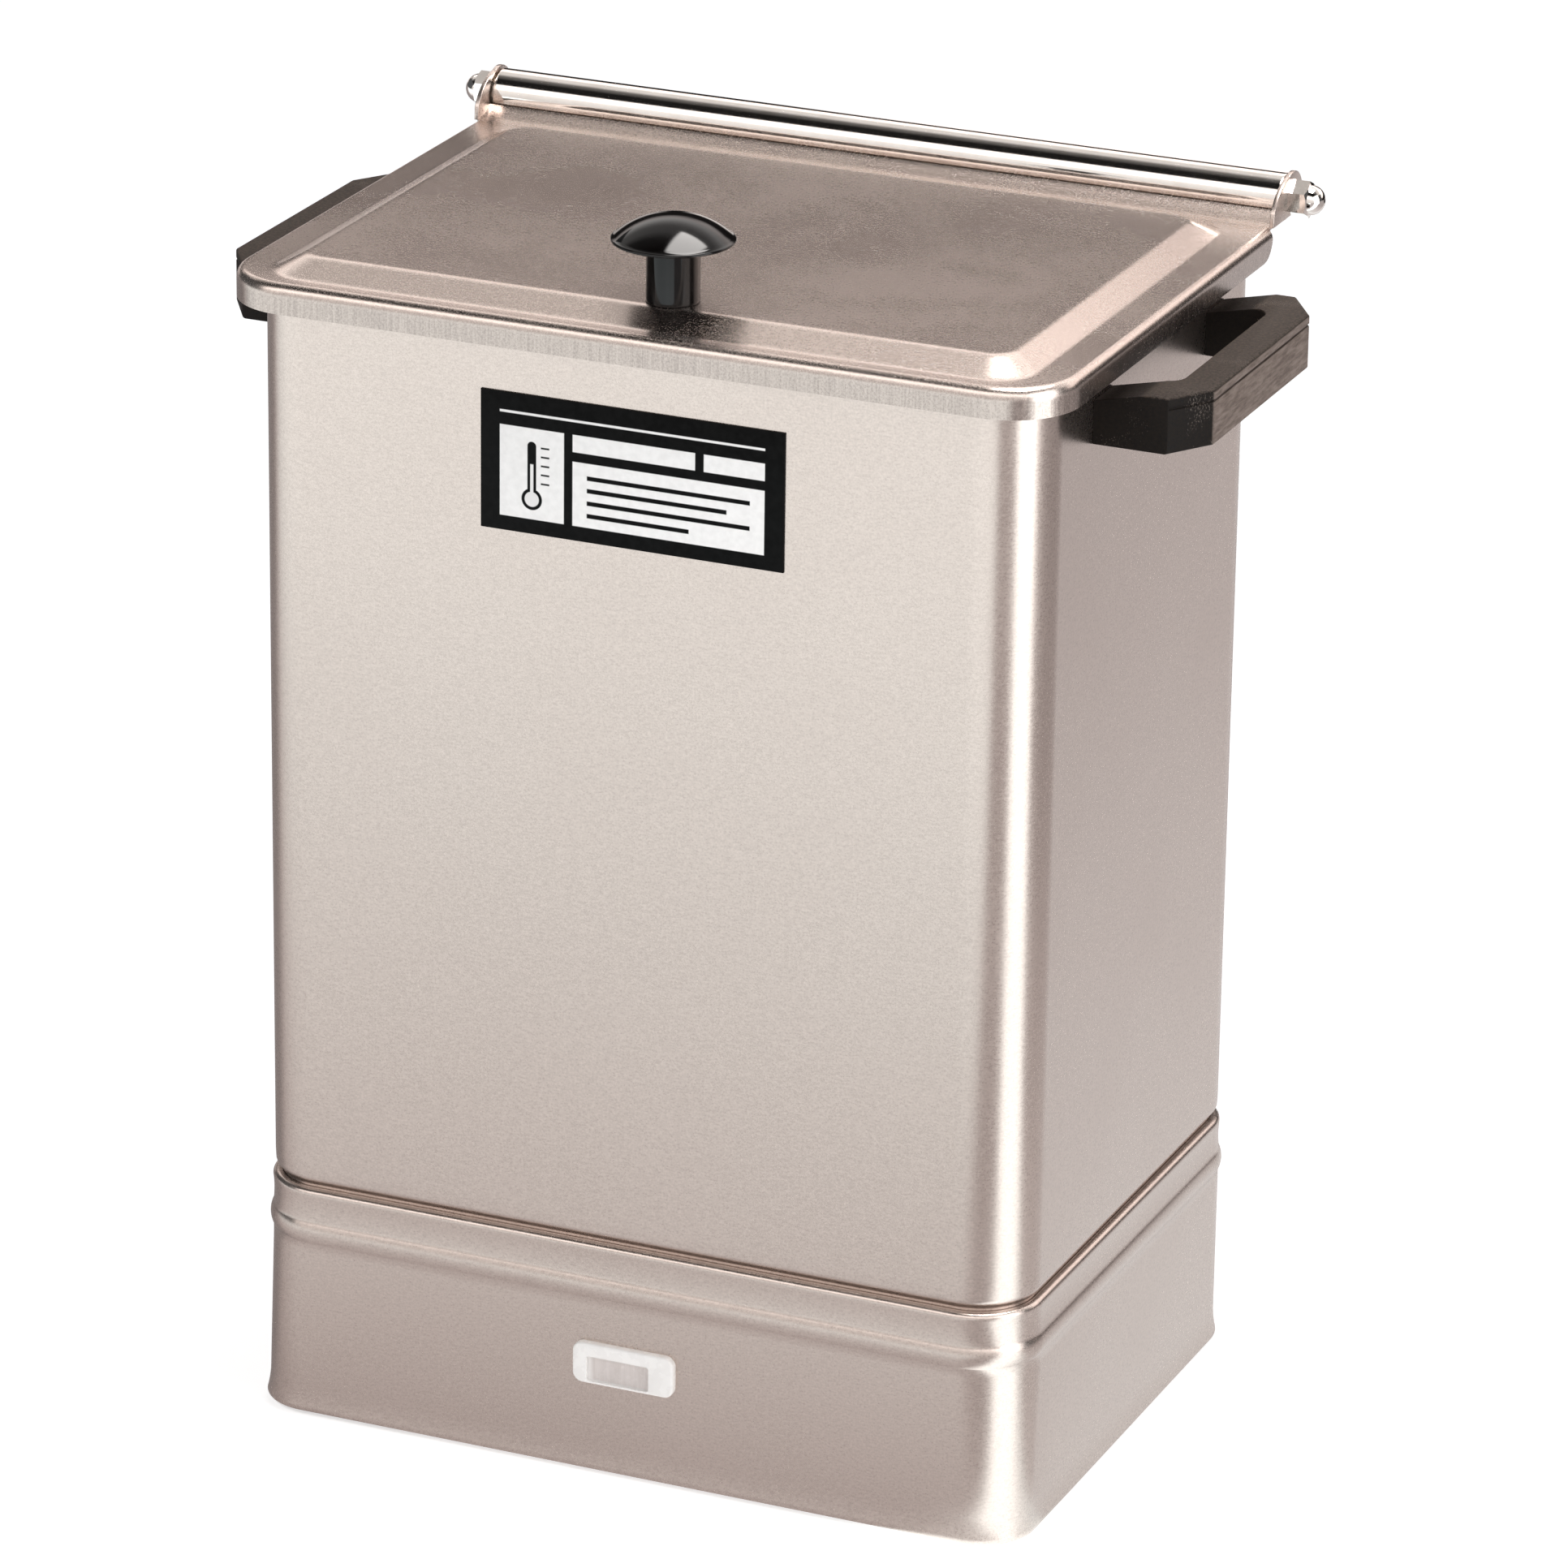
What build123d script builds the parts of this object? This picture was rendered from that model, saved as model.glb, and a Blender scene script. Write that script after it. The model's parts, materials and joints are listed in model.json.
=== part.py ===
from build123d import *
import math
import os

# Bench hot pack heater: a water tank inside a steel jacket, on a base housing, with a lid hinged at the
# back. Millimetres. X is the width, -Y is the front, +Z is up. The origin is on the bench, under the
# middle of the body.

# Fits, and how far a cutting block runs past what it cuts
snug_clearance = 0.1
loose_clearance = 0.4
contact_gap = 0.05
rest_gap = 0.1
cut_over = 1.0

# Pan head screws, as shares of the screw's diameter
pan_head_ratio = 1.9
pan_height_ratio = 0.6
pan_slot_width_ratio = 0.2
pan_slot_depth_ratio = 0.24
pan_round_ratio = 0.22

# Body jacket
body_width = 274.4
body_depth = 202.8
body_corner = 22.0
jacket_sheet = 1.0
tank_rim_z = 398.8
shoulder_rise = 4.6
shoulder_radius = 3.0
groove_radius = 1.6
shoulder_angle = 60.0
spigot_depth = 8.0
jacket_return = 13.7

# Water tank
tank_sheet = 0.9
insulation_space = 8.0
tank_floor_rise = 8.0
tank_bottom_radius = 8.0
tube_relief = 0.3
insulation_clearance = 0.3
insulation_drop = 36.8
sleeve_foot_rise = 1.0
pad_thickness = 6.0
pad_hole_clearance = 2.0

# Base housing, from its neck round the jacket down to the folded hem
base_sheet = 1.0
base_proud = 0.9
base_top_z = 83.0
neck_clearance = 0.1
neck_depth = 6.0
base_edge_radius = 0.8
ledge_radius = 2.0
band_hollow = 0.3
bead_drop = 15.8
bead_height = 7.6
bead_proud = 1.0
hem_z = 1.5
hem_height = 9.5
hem_bow_ratio = 0.25
base_return_z = 8.0
base_return = 11.9

# Bottom plate, studs and feet
plate_sheet = 1.0
plate_clearance = 0.5
vent_length = 46.0
vent_width = 4.0
vent_pitch = 10.0
vent_count = 3
vent_x = 46.0
vent_y = 52.0
stud_diameter = 6.0
stud_inset_x = 42.2
stud_inset_y = 39.4
stud_tail = 5.2
stud_nut_height = 4.6
stud_nut_flats = 10.0
foot_diameter = 20.0
foot_taper = 1.5
foot_inset_x = 25.2
foot_inset_y = 25.4
foot_screw_diameter = 4.0
foot_recess_diameter = 10.0
foot_recess_depth = 4.0
foot_screw_tail = 1.3
foot_nut_height = 3.2
foot_nut_flats = 7.0

# Lid
lid_sheet = 1.0
lid_overhang = 7.8
lid_corner = 24.0
lid_seat_gap = 0.2
skirt_drop = 10.0
lid_edge_radius = 3.5
skirt_end_setback = 18.2
skirt_end_radius = 7.5
panel_rise = 4.5
panel_foot_side = 13.3
panel_foot_front = 7.2
panel_foot_rear = 2.8
panel_slope_side = 8.7
panel_slope_front = 12.0
panel_slope_rear = 10.4
panel_foot_corner = 14.0
panel_top_corner = 8.0
panel_edge_radius = 1.6
lip_rise = 3.0

# Hinge
hinge_setback = 3.6
hinge_rise = 5.5
hinge_tube_diameter = 16.0
hinge_tube_wall = 1.5
hinge_tube_gap = 0.8
lid_tube_gap = 0.5
rod_diameter = 6.35
rod_running_clearance = 0.05
plug_length = 15.0
ear_thickness = 1.5
ear_side_gap = 0.1
ear_rear_radius = 9.0
ear_foot_drop = 0.2
ear_front_setback = 0.2
ear_brow_height = 4.4
ear_brow_lean = 0.4
ear_crown_angle = 115.0
ear_bow_forward = 1.3
ear_bow_up = 1.7
nut_flats = 11.1
nut_hex_length = 6.5
nut_length = 11.1
nut_dome_radius = 5.1
nut_chamfer_ratio = 0.6
rod_tail = 6.1
washer_thickness = 0.5
washer_diameter = 12.0
bracket_sheet = 1.2
bracket_end_inset = 25.2
bracket_leg = 26.0
saddle_start = -112.0
saddle_end = -20.0
rivet_diameter = 4.0
rivet_head_diameter = 7.0
rivet_head_height = 1.4
rivet_tail_diameter = 6.0
rivet_tail_height = 1.0
rivet_round = 1.1
rivet_count = 5
rivet_pitch = 46.0
rivet_drop = 23.5

# Knob
knob_x = 5.0
knob_setback = 27.2
knob_cap_diameter = 40.0
knob_stem_diameter = 18.4
knob_foot_diameter = 20.4
knob_foot_height = 1.6
knob_foot_fall = 0.8
knob_neck_diameter = 17.3
knob_rim_height = 21.5
knob_height = 30.5
knob_under_rise = 3.0
knob_under_bow = 0.6
knob_under_sag = 0.45
knob_rim_roll = 0.6
knob_screw_diameter = 5.0
knob_screw_depth = 12.0

# Side handles
handle_y = 5.0
handle_drop = 31.8
handle_height = 18.5
handle_reach = 35.0
handle_half_length = 58.5
handle_flat_half = 43.0
handle_corner_reach = 25.0
handle_arm = 17.0
handle_grip = 12.8
handle_inner_radius = 6.0
handle_slope_start = 18.0
handle_root_height = 14.5
handle_edge_radius = 1.0
handle_groove_drop = 3.2
handle_groove_width = 0.8
handle_groove_depth = 0.5
handle_screw_diameter = 4.0
handle_screw_depth = 14.0

# Front plate and pilot lamp
front_plate_width = 105.5
front_plate_height = 46.5
front_plate_drop = 49.05
front_plate_sheet = 0.6
lens_width = 36.4
lens_height = 14.5
lens_z = 40.75
lens_thickness = 2.6
lens_corner = 3.5
lens_edge_radius = 1.0
lens_body_width = 30.6
lens_body_height = 10.0
lens_body_depth = 12.0
lens_wall = 1.2
lens_window_width = 22.5
lens_window_height = 9.0
lens_window_x = -1.75
lens_window_drop = 1.75
lens_window_depth = 1.0
lamp_diameter = 5.0
lamp_length = 20.0
lamp_end_radius = 1.2
carrier_thickness = 2.0
carrier_seat = 1.0

# Heating element, its clamps and the thermostat
element_diameter = 6.4
element_x = 95.0
element_y = 40.0
element_drop = 24.0
element_bend = 12.0
element_turn = 30.0
terminal_diameter = 3.0
terminal_length = 8.0
insulator_diameter = 9.0
insulator_length = 6.0
clamp_x = 50.0
clamp_width = 16.0
clamp_overhang = 12.0
clamp_sheet = 1.5
clamp_stud_diameter = 5.0
clamp_stud_tail = 1.0
clamp_nut_height = 4.0
clamp_nut_flats = 8.0
bulb_length = 120.0
bulb_y = 16.0
capillary_diameter = 1.6
capillary_bend = 6.0
capillary_run = 14.0
capillary_turn_rise = 22.0
capillary_entry = 8.0
thermostat_x = 45.0
thermostat_y = -20.0
thermostat_width = 34.0
thermostat_height = 26.0
thermostat_chamfer = 4.0
thermostat_roof = 4.0
thermostat_screw_spacing = 26.0
thermostat_screw_diameter = 3.0
thermostat_screw_grip = 6.0
stem_diameter = 6.0
stem_reach = 3.5
stem_slot_width = 1.0
stem_slot_depth = 1.5
stem_end_gap = 0.2

# Terminal block and cord bushing
block_x = -45.0
block_y = 22.0
block_length = 46.0
block_width = 20.0
block_height = 16.0
block_ways = 4
block_cell_height = 4.0
block_cell_gap = 2.0
block_cell_setback = 4.0
block_screw_diameter = 3.0
block_screw_length = 8.5
block_screw_stand = 0.5
block_bore_depth = 10.0
lead_diameter = 2.4
lead_bend = 9.0
lead_rise = 6.0
lead_lift = 4.0
lead_sweep = 15.0
thermostat_lead_offset = 6.0
lamp_lead_x = -8.0
lamp_lead_run = 16.0
bushing_x = -85.0
bushing_z = 30.0
bushing_bore = 7.5
bushing_neck = 12.5
bushing_flange = 17.0
bushing_flange_thickness = 2.2
bushing_edge_radius = 0.8

# Pack rack
rack_clearance = 3.0
rack_frame_wire = 4.0
rack_wire = 3.0
rack_corner = 12.0
rack_weld = 0.4
skid_inset_y = 22.5
skid_inset_x = 11.3
pack_count = 4
divider_x = 70.0
divider_span = 36.0
divider_height = 180.0
divider_bend = 10.0
support_x = 44.0
support_count = 4
bail_span = 60.0
bail_headroom = 21.0
bail_bend = 15.0

# Heights and half sizes that follow
half_width = body_width / 2
half_depth = body_depth / 2
lid_under_z = tank_rim_z + lid_seat_gap
flange_z = lid_under_z + lid_sheet
skirt_z = flange_z - skirt_drop
panel_z = flange_z + panel_rise
lid_half_width = half_width + lid_overhang
lid_front_y = -half_depth - lid_overhang
hinge_y = half_depth + hinge_setback
hinge_z = flange_z + hinge_rise
skirt_end_y = hinge_y - skirt_end_setback
panel_foot_rear_y = skirt_end_y - panel_foot_rear
ear_foot_z = flange_z - ear_foot_drop
rivet_z = hinge_z - rivet_drop
knob_y = lid_front_y + knob_setback
handle_z = tank_rim_z - handle_drop
front_plate_z = tank_rim_z - front_plate_drop
insulation_top_z = tank_rim_z - insulation_drop
shoulder_z = base_top_z + shoulder_rise
spigot_foot_z = base_top_z - spigot_depth
tank_floor_z = base_top_z + tank_floor_rise
bead_z = base_top_z - bead_drop
stud_x = half_width - stud_inset_x
stud_y = half_depth - stud_inset_y
foot_x = half_width - foot_inset_x
foot_y = half_depth - foot_inset_y
spigot_inset = (shoulder_radius + groove_radius) * (1 - math.cos(math.radians(shoulder_angle)))
spigot_z = shoulder_z - (shoulder_radius + groove_radius) * math.sin(math.radians(shoulder_angle))
tank_inset = jacket_sheet + insulation_space
tank_inside_z = tank_floor_z + tank_sheet
ear_inner_x = lid_half_width - ear_thickness - ear_side_gap
ear_outer_x = ear_inner_x + ear_thickness
hinge_tube_bore = hinge_tube_diameter - 2 * hinge_tube_wall
tube_end_x = ear_inner_x - hinge_tube_gap
plate_top_z = base_return_z
plate_under_z = plate_top_z - plate_sheet
element_z = tank_floor_z - element_diameter / 2 - contact_gap
clamp_top_z = element_z - element_diameter / 2
clamp_under_z = clamp_top_z - clamp_sheet
pad_bottom_z = spigot_foot_z + jacket_sheet + rest_gap
handle_screw_y = handle_half_length - handle_arm / 2
handle_screw_z = handle_z + handle_root_height / 2
rack_half_width = half_width - tank_inset - tank_sheet - rack_clearance
rack_half_depth = half_depth - tank_inset - tank_sheet - rack_clearance
skid_z = tank_inside_z + rack_frame_wire / 2 + rest_gap
rack_frame_z = skid_z + rack_frame_wire - rack_weld
bail_top_z = lid_under_z - bail_headroom
divider_top_z = rack_frame_z + divider_height
rack_rail_z = rack_frame_z + (rack_frame_wire + rack_wire) / 2 - rack_weld
pack_pitch = 2 * (rack_half_depth - rack_frame_wire / 2) / pack_count
capillary_x = bulb_length / 2 + capillary_run
thermostat_top_z = plate_top_z + thermostat_height
block_top_z = plate_top_z + block_height
stud_hole = stud_diameter + loose_clearance
foot_screw_length = plate_top_z - foot_recess_depth + foot_nut_height + foot_screw_tail


def export(part, name):
    """Write one sub-part as parts/NAME.step."""
    part.label = name
    export_step(part, os.path.join("parts", name + ".step"))


def body_outline(grow, z):
    """The rounded body outline at height z, moved outward by grow."""
    outline = RectangleRounded(body_width + 2 * grow, body_depth + 2 * grow, body_corner + grow)
    return Pos(0, 0, z) * outline


def body_block(grow, z_low, z_high):
    """A solid block of the body outline between two heights."""
    return extrude(body_outline(grow, z_low), amount=z_high - z_low)


def wall_ring(section):
    """Run a wall section, drawn as (outward, up), once round the body outline."""
    path = body_outline(0, 0).face().outer_wire()
    start = path @ 0
    outward = (path % 0).cross(Vector(0, 0, 1))
    if outward.dot(start) < 0:
        outward = -outward
    plane = Plane(origin=start, x_dir=outward, z_dir=outward.cross(Vector(0, 0, 1)))
    return sweep(plane * section, path=path)


def rod_between(start, end, diameter):
    """A straight round rod between two points."""
    axis = Vector(end) - Vector(start)
    return extrude(Plane(origin=start, z_dir=axis) * Circle(diameter / 2), amount=axis.length)


def bent_rod(points, bends, diameter):
    """A round rod along straight runs joined by tangent bends."""
    path = FilletPolyline(*points, radius=bends)
    return sweep(Plane(origin=path @ 0, z_dir=path % 0) * Circle(diameter / 2), path=path)


def upright(x, y, z_low, z_high, diameter):
    """A vertical round rod or hole filler."""
    return rod_between((x, y, z_low), (x, y, z_high), diameter)


def across_wall(x, y, z, inward, outward, diameter):
    """A level round rod through a wall, along X for a side wall or along Y for the rear wall."""
    if y == half_depth:
        return rod_between((x, y - inward, z), (x, y + outward, z), diameter)
    side = math.copysign(1, x)
    return rod_between((x - side * inward, y, z), (x + side * outward, y, z), diameter)


def along_hinge(x_start, x_end, diameter):
    """A round rod on the hinge axis between two X places."""
    return rod_between((x_start, hinge_y, hinge_z), (x_end, hinge_y, hinge_z), diameter)


def hex_block(x, y, z_low, z_high, flats):
    """A vertical hexagonal block."""
    outline = Pos(x, y, z_low) * RegularPolygon(flats / 2, 6, major_radius=False)
    return extrude(outline, amount=z_high - z_low)


def hex_nut(x, y, z_low, z_high, flats, bore):
    """A hexagonal nut with a snug bore."""
    hole = upright(x, y, z_low - cut_over, z_high + cut_over, bore + snug_clearance)
    return hex_block(x, y, z_low, z_high, flats) - hole


def pan_screw(diameter, length):
    """A slotted pan head screw: head on +Z above the origin, shank down along -Z."""
    head_diameter = diameter * pan_head_ratio
    head_height = diameter * pan_height_ratio
    head = Pos(0, 0, head_height / 2) * Cylinder(head_diameter / 2, head_height)
    head = fillet(head.edges().sort_by(Axis.Z)[-1], diameter * pan_round_ratio)
    slot_depth = diameter * pan_slot_depth_ratio
    slot = Box(2 * head_diameter, diameter * pan_slot_width_ratio, 2 * slot_depth)
    shank = Pos(0, 0, -length / 2) * Cylinder(diameter / 2, length)
    return head - Pos(0, 0, head_height) * slot + shank


def dome_arc(rim_radius, rim_z, top_z):
    """A round arc from a rim up to the axis, centred on the axis."""
    rise = top_z - rim_z
    radius = (rim_radius**2 + rise**2) / (2 * rise)
    half_turn = math.asin(rim_radius / radius) / 2
    middle = (radius * math.sin(half_turn), top_z - radius * (1 - math.cos(half_turn)))
    return ThreePointArc((rim_radius, rim_z), middle, (0, top_z))


def side_view(x):
    """The plane at one X place whose own axes are Y and Z."""
    return Plane(origin=(x, 0, 0), x_dir=(0, 1, 0), z_dir=(1, 0, 0))


def front_view(y, z):
    """The plane that faces the front at one Y and Z place."""
    return Plane(origin=(0, y, z), x_dir=(1, 0, 0), z_dir=(0, -1, 0))


def four_corners(x, y):
    """The four mirrored places of one point."""
    return [(side_x * x, side_y * y) for side_x in (-1, 1) for side_y in (-1, 1)]


# Jacket ---------------------------------------------------------------------------------------

def jacket_section():
    """Wall, rolled shoulder, spigot and inward return of the jacket."""
    angle = math.radians(shoulder_angle)
    sheet = jacket_sheet
    top = tank_rim_z - tank_sheet

    def on_shoulder(radius, turn):
        return (-shoulder_radius + radius * math.cos(turn), shoulder_z - radius * math.sin(turn))

    groove_centre = on_shoulder(shoulder_radius + groove_radius, angle)

    def on_groove(radius, turn):
        return (groove_centre[0] - radius * math.cos(turn), groove_centre[1] + radius * math.sin(turn))

    def arc(place, radius, turns):
        return ThreePointArc(*[place(radius, turn) for turn in turns])

    down = (0, angle / 2, angle)
    up = (angle, angle / 2, 0)
    spigot = -spigot_inset
    foot = spigot_foot_z
    edges = [
        Line((0, top), (0, shoulder_z)),
        arc(on_shoulder, shoulder_radius, down),
        arc(on_groove, groove_radius, up),
        Polyline(
            (spigot, spigot_z),
            (spigot, foot),
            (spigot - jacket_return, foot),
            (spigot - jacket_return, foot + sheet),
            (spigot - sheet, foot + sheet),
            (spigot - sheet, spigot_z),
        ),
        arc(on_groove, groove_radius + sheet, down),
        arc(on_shoulder, shoulder_radius - sheet, up),
        Polyline((-sheet, shoulder_z), (-sheet, top), (0, top)),
    ]
    return make_face(edges)


def handle_screw_places():
    """Side and Y place of each handle screw."""
    return [(side, handle_y + end * handle_screw_y) for side in (-1, 1) for end in (-1, 1)]


def rivet_places():
    """X places of the bracket rivets."""
    first = -(rivet_count - 1) / 2 * rivet_pitch
    return [first + step * rivet_pitch for step in range(rivet_count)]


def build_jacket():
    """The outer steel wall with its handle screw and rivet holes."""
    jacket = wall_ring(jacket_section())
    inward = jacket_sheet + cut_over
    screw_hole = handle_screw_diameter + loose_clearance
    for side, y in handle_screw_places():
        jacket -= across_wall(side * half_width, y, handle_screw_z, inward, cut_over, screw_hole)
    for x in rivet_places():
        jacket -= across_wall(x, half_depth, rivet_z, inward, cut_over, rivet_diameter)
    return jacket


# Water tank and insulation ----------------------------------------------------------------------

def build_tank():
    """Drawn tank with a flat rim that lies on the jacket's top edge."""
    shell = body_block(-tank_inset, tank_floor_z, tank_rim_z)
    shell = fillet(shell.edges().group_by(Axis.Z)[0], tank_bottom_radius)
    rim = body_block(0, tank_rim_z - tank_sheet, tank_rim_z)
    hollow = body_block(-tank_inset - tank_sheet, tank_inside_z, tank_rim_z + cut_over)
    hollow = fillet(hollow.edges().group_by(Axis.Z)[0], tank_bottom_radius - tank_sheet)
    relief = along_hinge(-half_width, half_width, hinge_tube_diameter + tube_relief)
    return rim + shell - hollow - relief


def build_insulation_sleeve():
    """Fibre sleeve between the tank and the jacket."""
    top = insulation_top_z
    bottom = shoulder_z + sleeve_foot_rise
    outer = body_block(-jacket_sheet - insulation_clearance, bottom, top)
    return outer - body_block(-tank_inset + insulation_clearance, bottom - cut_over, top + cut_over)


def build_insulation_pad():
    """Fibre pad under the tank, on the jacket's return, cleared for what passes through."""
    inset = spigot_inset + jacket_sheet + insulation_clearance
    pad = body_block(-inset, pad_bottom_z, pad_bottom_z + pad_thickness)
    low, high = pad_bottom_z - cut_over, pad_bottom_z + pad_thickness + cut_over
    clamp_hole = clamp_nut_flats * 2 / math.sqrt(3) + pad_hole_clearance
    for x, y in four_corners(stud_x, stud_y):
        pad -= upright(x, y, low, high, stud_diameter + pad_hole_clearance)
    for y in (-element_y, element_y):
        pad -= upright(-element_x, y, low, high, element_diameter + element_bend / 2)
    for x in (-clamp_x, clamp_x):
        pad -= upright(x, 0, low, high, clamp_hole)
    return pad - upright(capillary_x, bulb_y, low, high, capillary_diameter + 2 * pad_hole_clearance)


# Base housing -----------------------------------------------------------------------------------

def base_section():
    """Neck, ledge, band, bead, skirt, folded hem and inward return of the base housing."""
    sheet, edge = base_sheet, base_edge_radius
    out = base_proud
    inside = out - sheet
    neck = -spigot_inset + neck_clearance
    top = base_top_z
    bead_top, bead_foot = bead_z + bead_height / 2, bead_z - bead_height / 2
    ledge_foot = top - ledge_radius
    band_middle = (ledge_foot + bead_top) / 2
    inner_ledge = ledge_radius - sheet
    hem_top = hem_z + hem_height
    hem_out = out + sheet
    fold_z = hem_z + sheet
    hem_middle = (hem_top + fold_z) / 2

    def corner_sag(radius):
        """How far the middle of a rounded corner stays inside its sharp corner."""
        return radius * (1 - math.sqrt(0.5))

    edges = [
        Line((neck, top - neck_depth), (neck, top - edge)),
        ThreePointArc(
            (neck, top - edge), (neck + corner_sag(edge), top - corner_sag(edge)), (neck + edge, top)
        ),
        Line((neck + edge, top), (out - ledge_radius, top)),
        ThreePointArc(
            (out - ledge_radius, top),
            (out - corner_sag(ledge_radius), top - corner_sag(ledge_radius)),
            (out, ledge_foot),
        ),
        ThreePointArc((out, ledge_foot), (out - band_hollow, band_middle), (out, bead_top)),
        ThreePointArc((out, bead_top), (out + bead_proud, bead_z), (out, bead_foot)),
        Line((out, bead_foot), (out, hem_top)),
        ThreePointArc((out, hem_top), (out + sheet * hem_bow_ratio, hem_middle), (hem_out, fold_z)),
        ThreePointArc((hem_out, fold_z), (out, hem_z), (inside, fold_z)),
        Polyline(
            (inside, fold_z),
            (inside, base_return_z),
            (inside - base_return, base_return_z),
            (inside - base_return, base_return_z + sheet),
            (inside, base_return_z + sheet),
            (inside, bead_foot),
        ),
        ThreePointArc((inside, bead_foot), (inside + bead_proud, bead_z), (inside, bead_top)),
        ThreePointArc((inside, bead_top), (inside - band_hollow, band_middle), (inside, ledge_foot)),
        ThreePointArc(
            (inside, ledge_foot),
            (inside - corner_sag(inner_ledge), ledge_foot + inner_ledge - corner_sag(inner_ledge)),
            (inside - inner_ledge, top - sheet),
        ),
        Polyline(
            (inside - inner_ledge, top - sheet),
            (neck + sheet, top - sheet),
            (neck + sheet, top - neck_depth),
            (neck, top - neck_depth),
        ),
    ]
    return make_face(edges)


def build_base_housing():
    """The base housing with its lamp window and cord hole."""
    housing = wall_ring(base_section())
    window_width = lens_body_width + loose_clearance
    window_height = lens_body_height + loose_clearance
    through = 2 * (base_sheet + cut_over)
    housing -= Pos(0, -half_depth, lens_z) * Box(window_width, through, window_height)
    return housing - across_wall(bushing_x, half_depth, bushing_z, through, through, bushing_neck)


# Bottom plate, studs and feet -------------------------------------------------------------------

def build_bottom_plate():
    """The flat cover under the base, with vent slots and holes for studs, feet and the stem."""
    plate = body_block(base_proud - base_sheet - plate_clearance, plate_under_z, plate_top_z)
    low, high = plate_under_z - cut_over, plate_top_z + cut_over
    for x, y in four_corners(stud_x, stud_y):
        plate -= upright(x, y, low, high, stud_hole)
    for x, y in four_corners(foot_x, foot_y):
        plate -= upright(x, y, low, high, foot_screw_diameter + loose_clearance)
    for row in range(vent_count):
        for x, y in four_corners(vent_x, vent_y + row * vent_pitch):
            plate -= extrude(Pos(x, y, low) * SlotOverall(vent_length, vent_width), amount=high - low)
    for x, y in thermostat_screw_places():
        plate -= upright(x, y, low, high, thermostat_screw_diameter + loose_clearance)
    return plate - upright(thermostat_x, thermostat_y, low, high, stem_diameter + 2 * loose_clearance)


def build_tie_studs():
    """Studs welded under the tank floor that pull the base up to the jacket."""
    return [
        upright(x, y, plate_under_z - stud_tail, tank_floor_z, stud_diameter)
        for x, y in four_corners(stud_x, stud_y)
    ]


def build_tie_nuts():
    """One nut on each tie stud, under the bottom plate."""
    low = plate_under_z - stud_nut_height
    return [
        hex_nut(x, y, low, plate_under_z, stud_nut_flats, stud_diameter)
        for x, y in four_corners(stud_x, stud_y)
    ]


def build_feet():
    """Rubber feet, each with a recess that hides its screw head."""
    radius = foot_diameter / 2
    foot = Pos(0, 0, plate_under_z / 2) * Cone(radius - foot_taper, radius, plate_under_z)
    foot -= upright(0, 0, -cut_over, foot_recess_depth, foot_recess_diameter)
    foot -= upright(0, 0, 0, plate_top_z, foot_screw_diameter + snug_clearance)
    return [Pos(x, y, 0) * foot for x, y in four_corners(foot_x, foot_y)]


def build_foot_screws():
    """Pan head screws up through the feet and the bottom plate."""
    screw = Pos(0, 0, foot_recess_depth) * Rot(180, 0, 0) * pan_screw(foot_screw_diameter, foot_screw_length)
    return [Pos(x, y, 0) * screw for x, y in four_corners(foot_x, foot_y)]


def build_foot_nuts():
    """Nuts of the foot screws, on the inner face of the bottom plate."""
    high = plate_top_z + foot_nut_height
    return [
        hex_nut(x, y, plate_top_z, high, foot_nut_flats, foot_screw_diameter)
        for x, y in four_corners(foot_x, foot_y)
    ]


# Lid --------------------------------------------------------------------------------------------

def lid_outline(inset, rear_y):
    """The lid's plan outline: rounded front corners, square at the back."""
    half = lid_half_width - inset
    front = lid_front_y + inset
    middle = (front + rear_y) / 2
    sheet = Pos(0, middle, 0) * Rectangle(2 * half, rear_y - front)
    corners = sheet.vertices().group_by(Axis.Y)[0]
    return fillet(corners, lid_corner - inset)


def panel_block(inset, z_low, z_high):
    """The raised panel as a tapered block whose foot is at z_low and top at z_high."""
    def outline(side, front, rear, corner, z):
        width = 2 * (lid_half_width - side - inset)
        y_front, y_rear = lid_front_y + front + inset, rear - inset
        return Pos(0, (y_front + y_rear) / 2, z) * RectangleRounded(width, y_rear - y_front, corner)

    foot = outline(panel_foot_side, panel_foot_front, panel_foot_rear_y, panel_foot_corner, z_low)
    top = outline(
        panel_foot_side + panel_slope_side,
        panel_foot_front + panel_slope_front,
        panel_foot_rear_y - panel_slope_rear,
        panel_top_corner,
        z_high,
    )
    return loft([foot, top], ruled=True)


def flange_block(inset, z_low, z_high, rear_y, edge_radius):
    """The lid's flange and skirt as a block with rounded upper edges in front and at the sides."""
    block = extrude(Pos(0, 0, z_low) * lid_outline(inset, rear_y), amount=z_high - z_low)
    top_edges = block.edges().group_by(Axis.Z)[-1]
    rear = top_edges.sort_by(Axis.Y)[-1]
    return fillet([edge for edge in top_edges if edge != rear], edge_radius)


def lip_y(z):
    """Y of the lid's rear edge at height z, a small gap in front of the hinge tube."""
    reach = hinge_tube_diameter / 2 + lid_tube_gap
    return hinge_y - math.sqrt(reach**2 - (hinge_z - z) ** 2)


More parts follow.
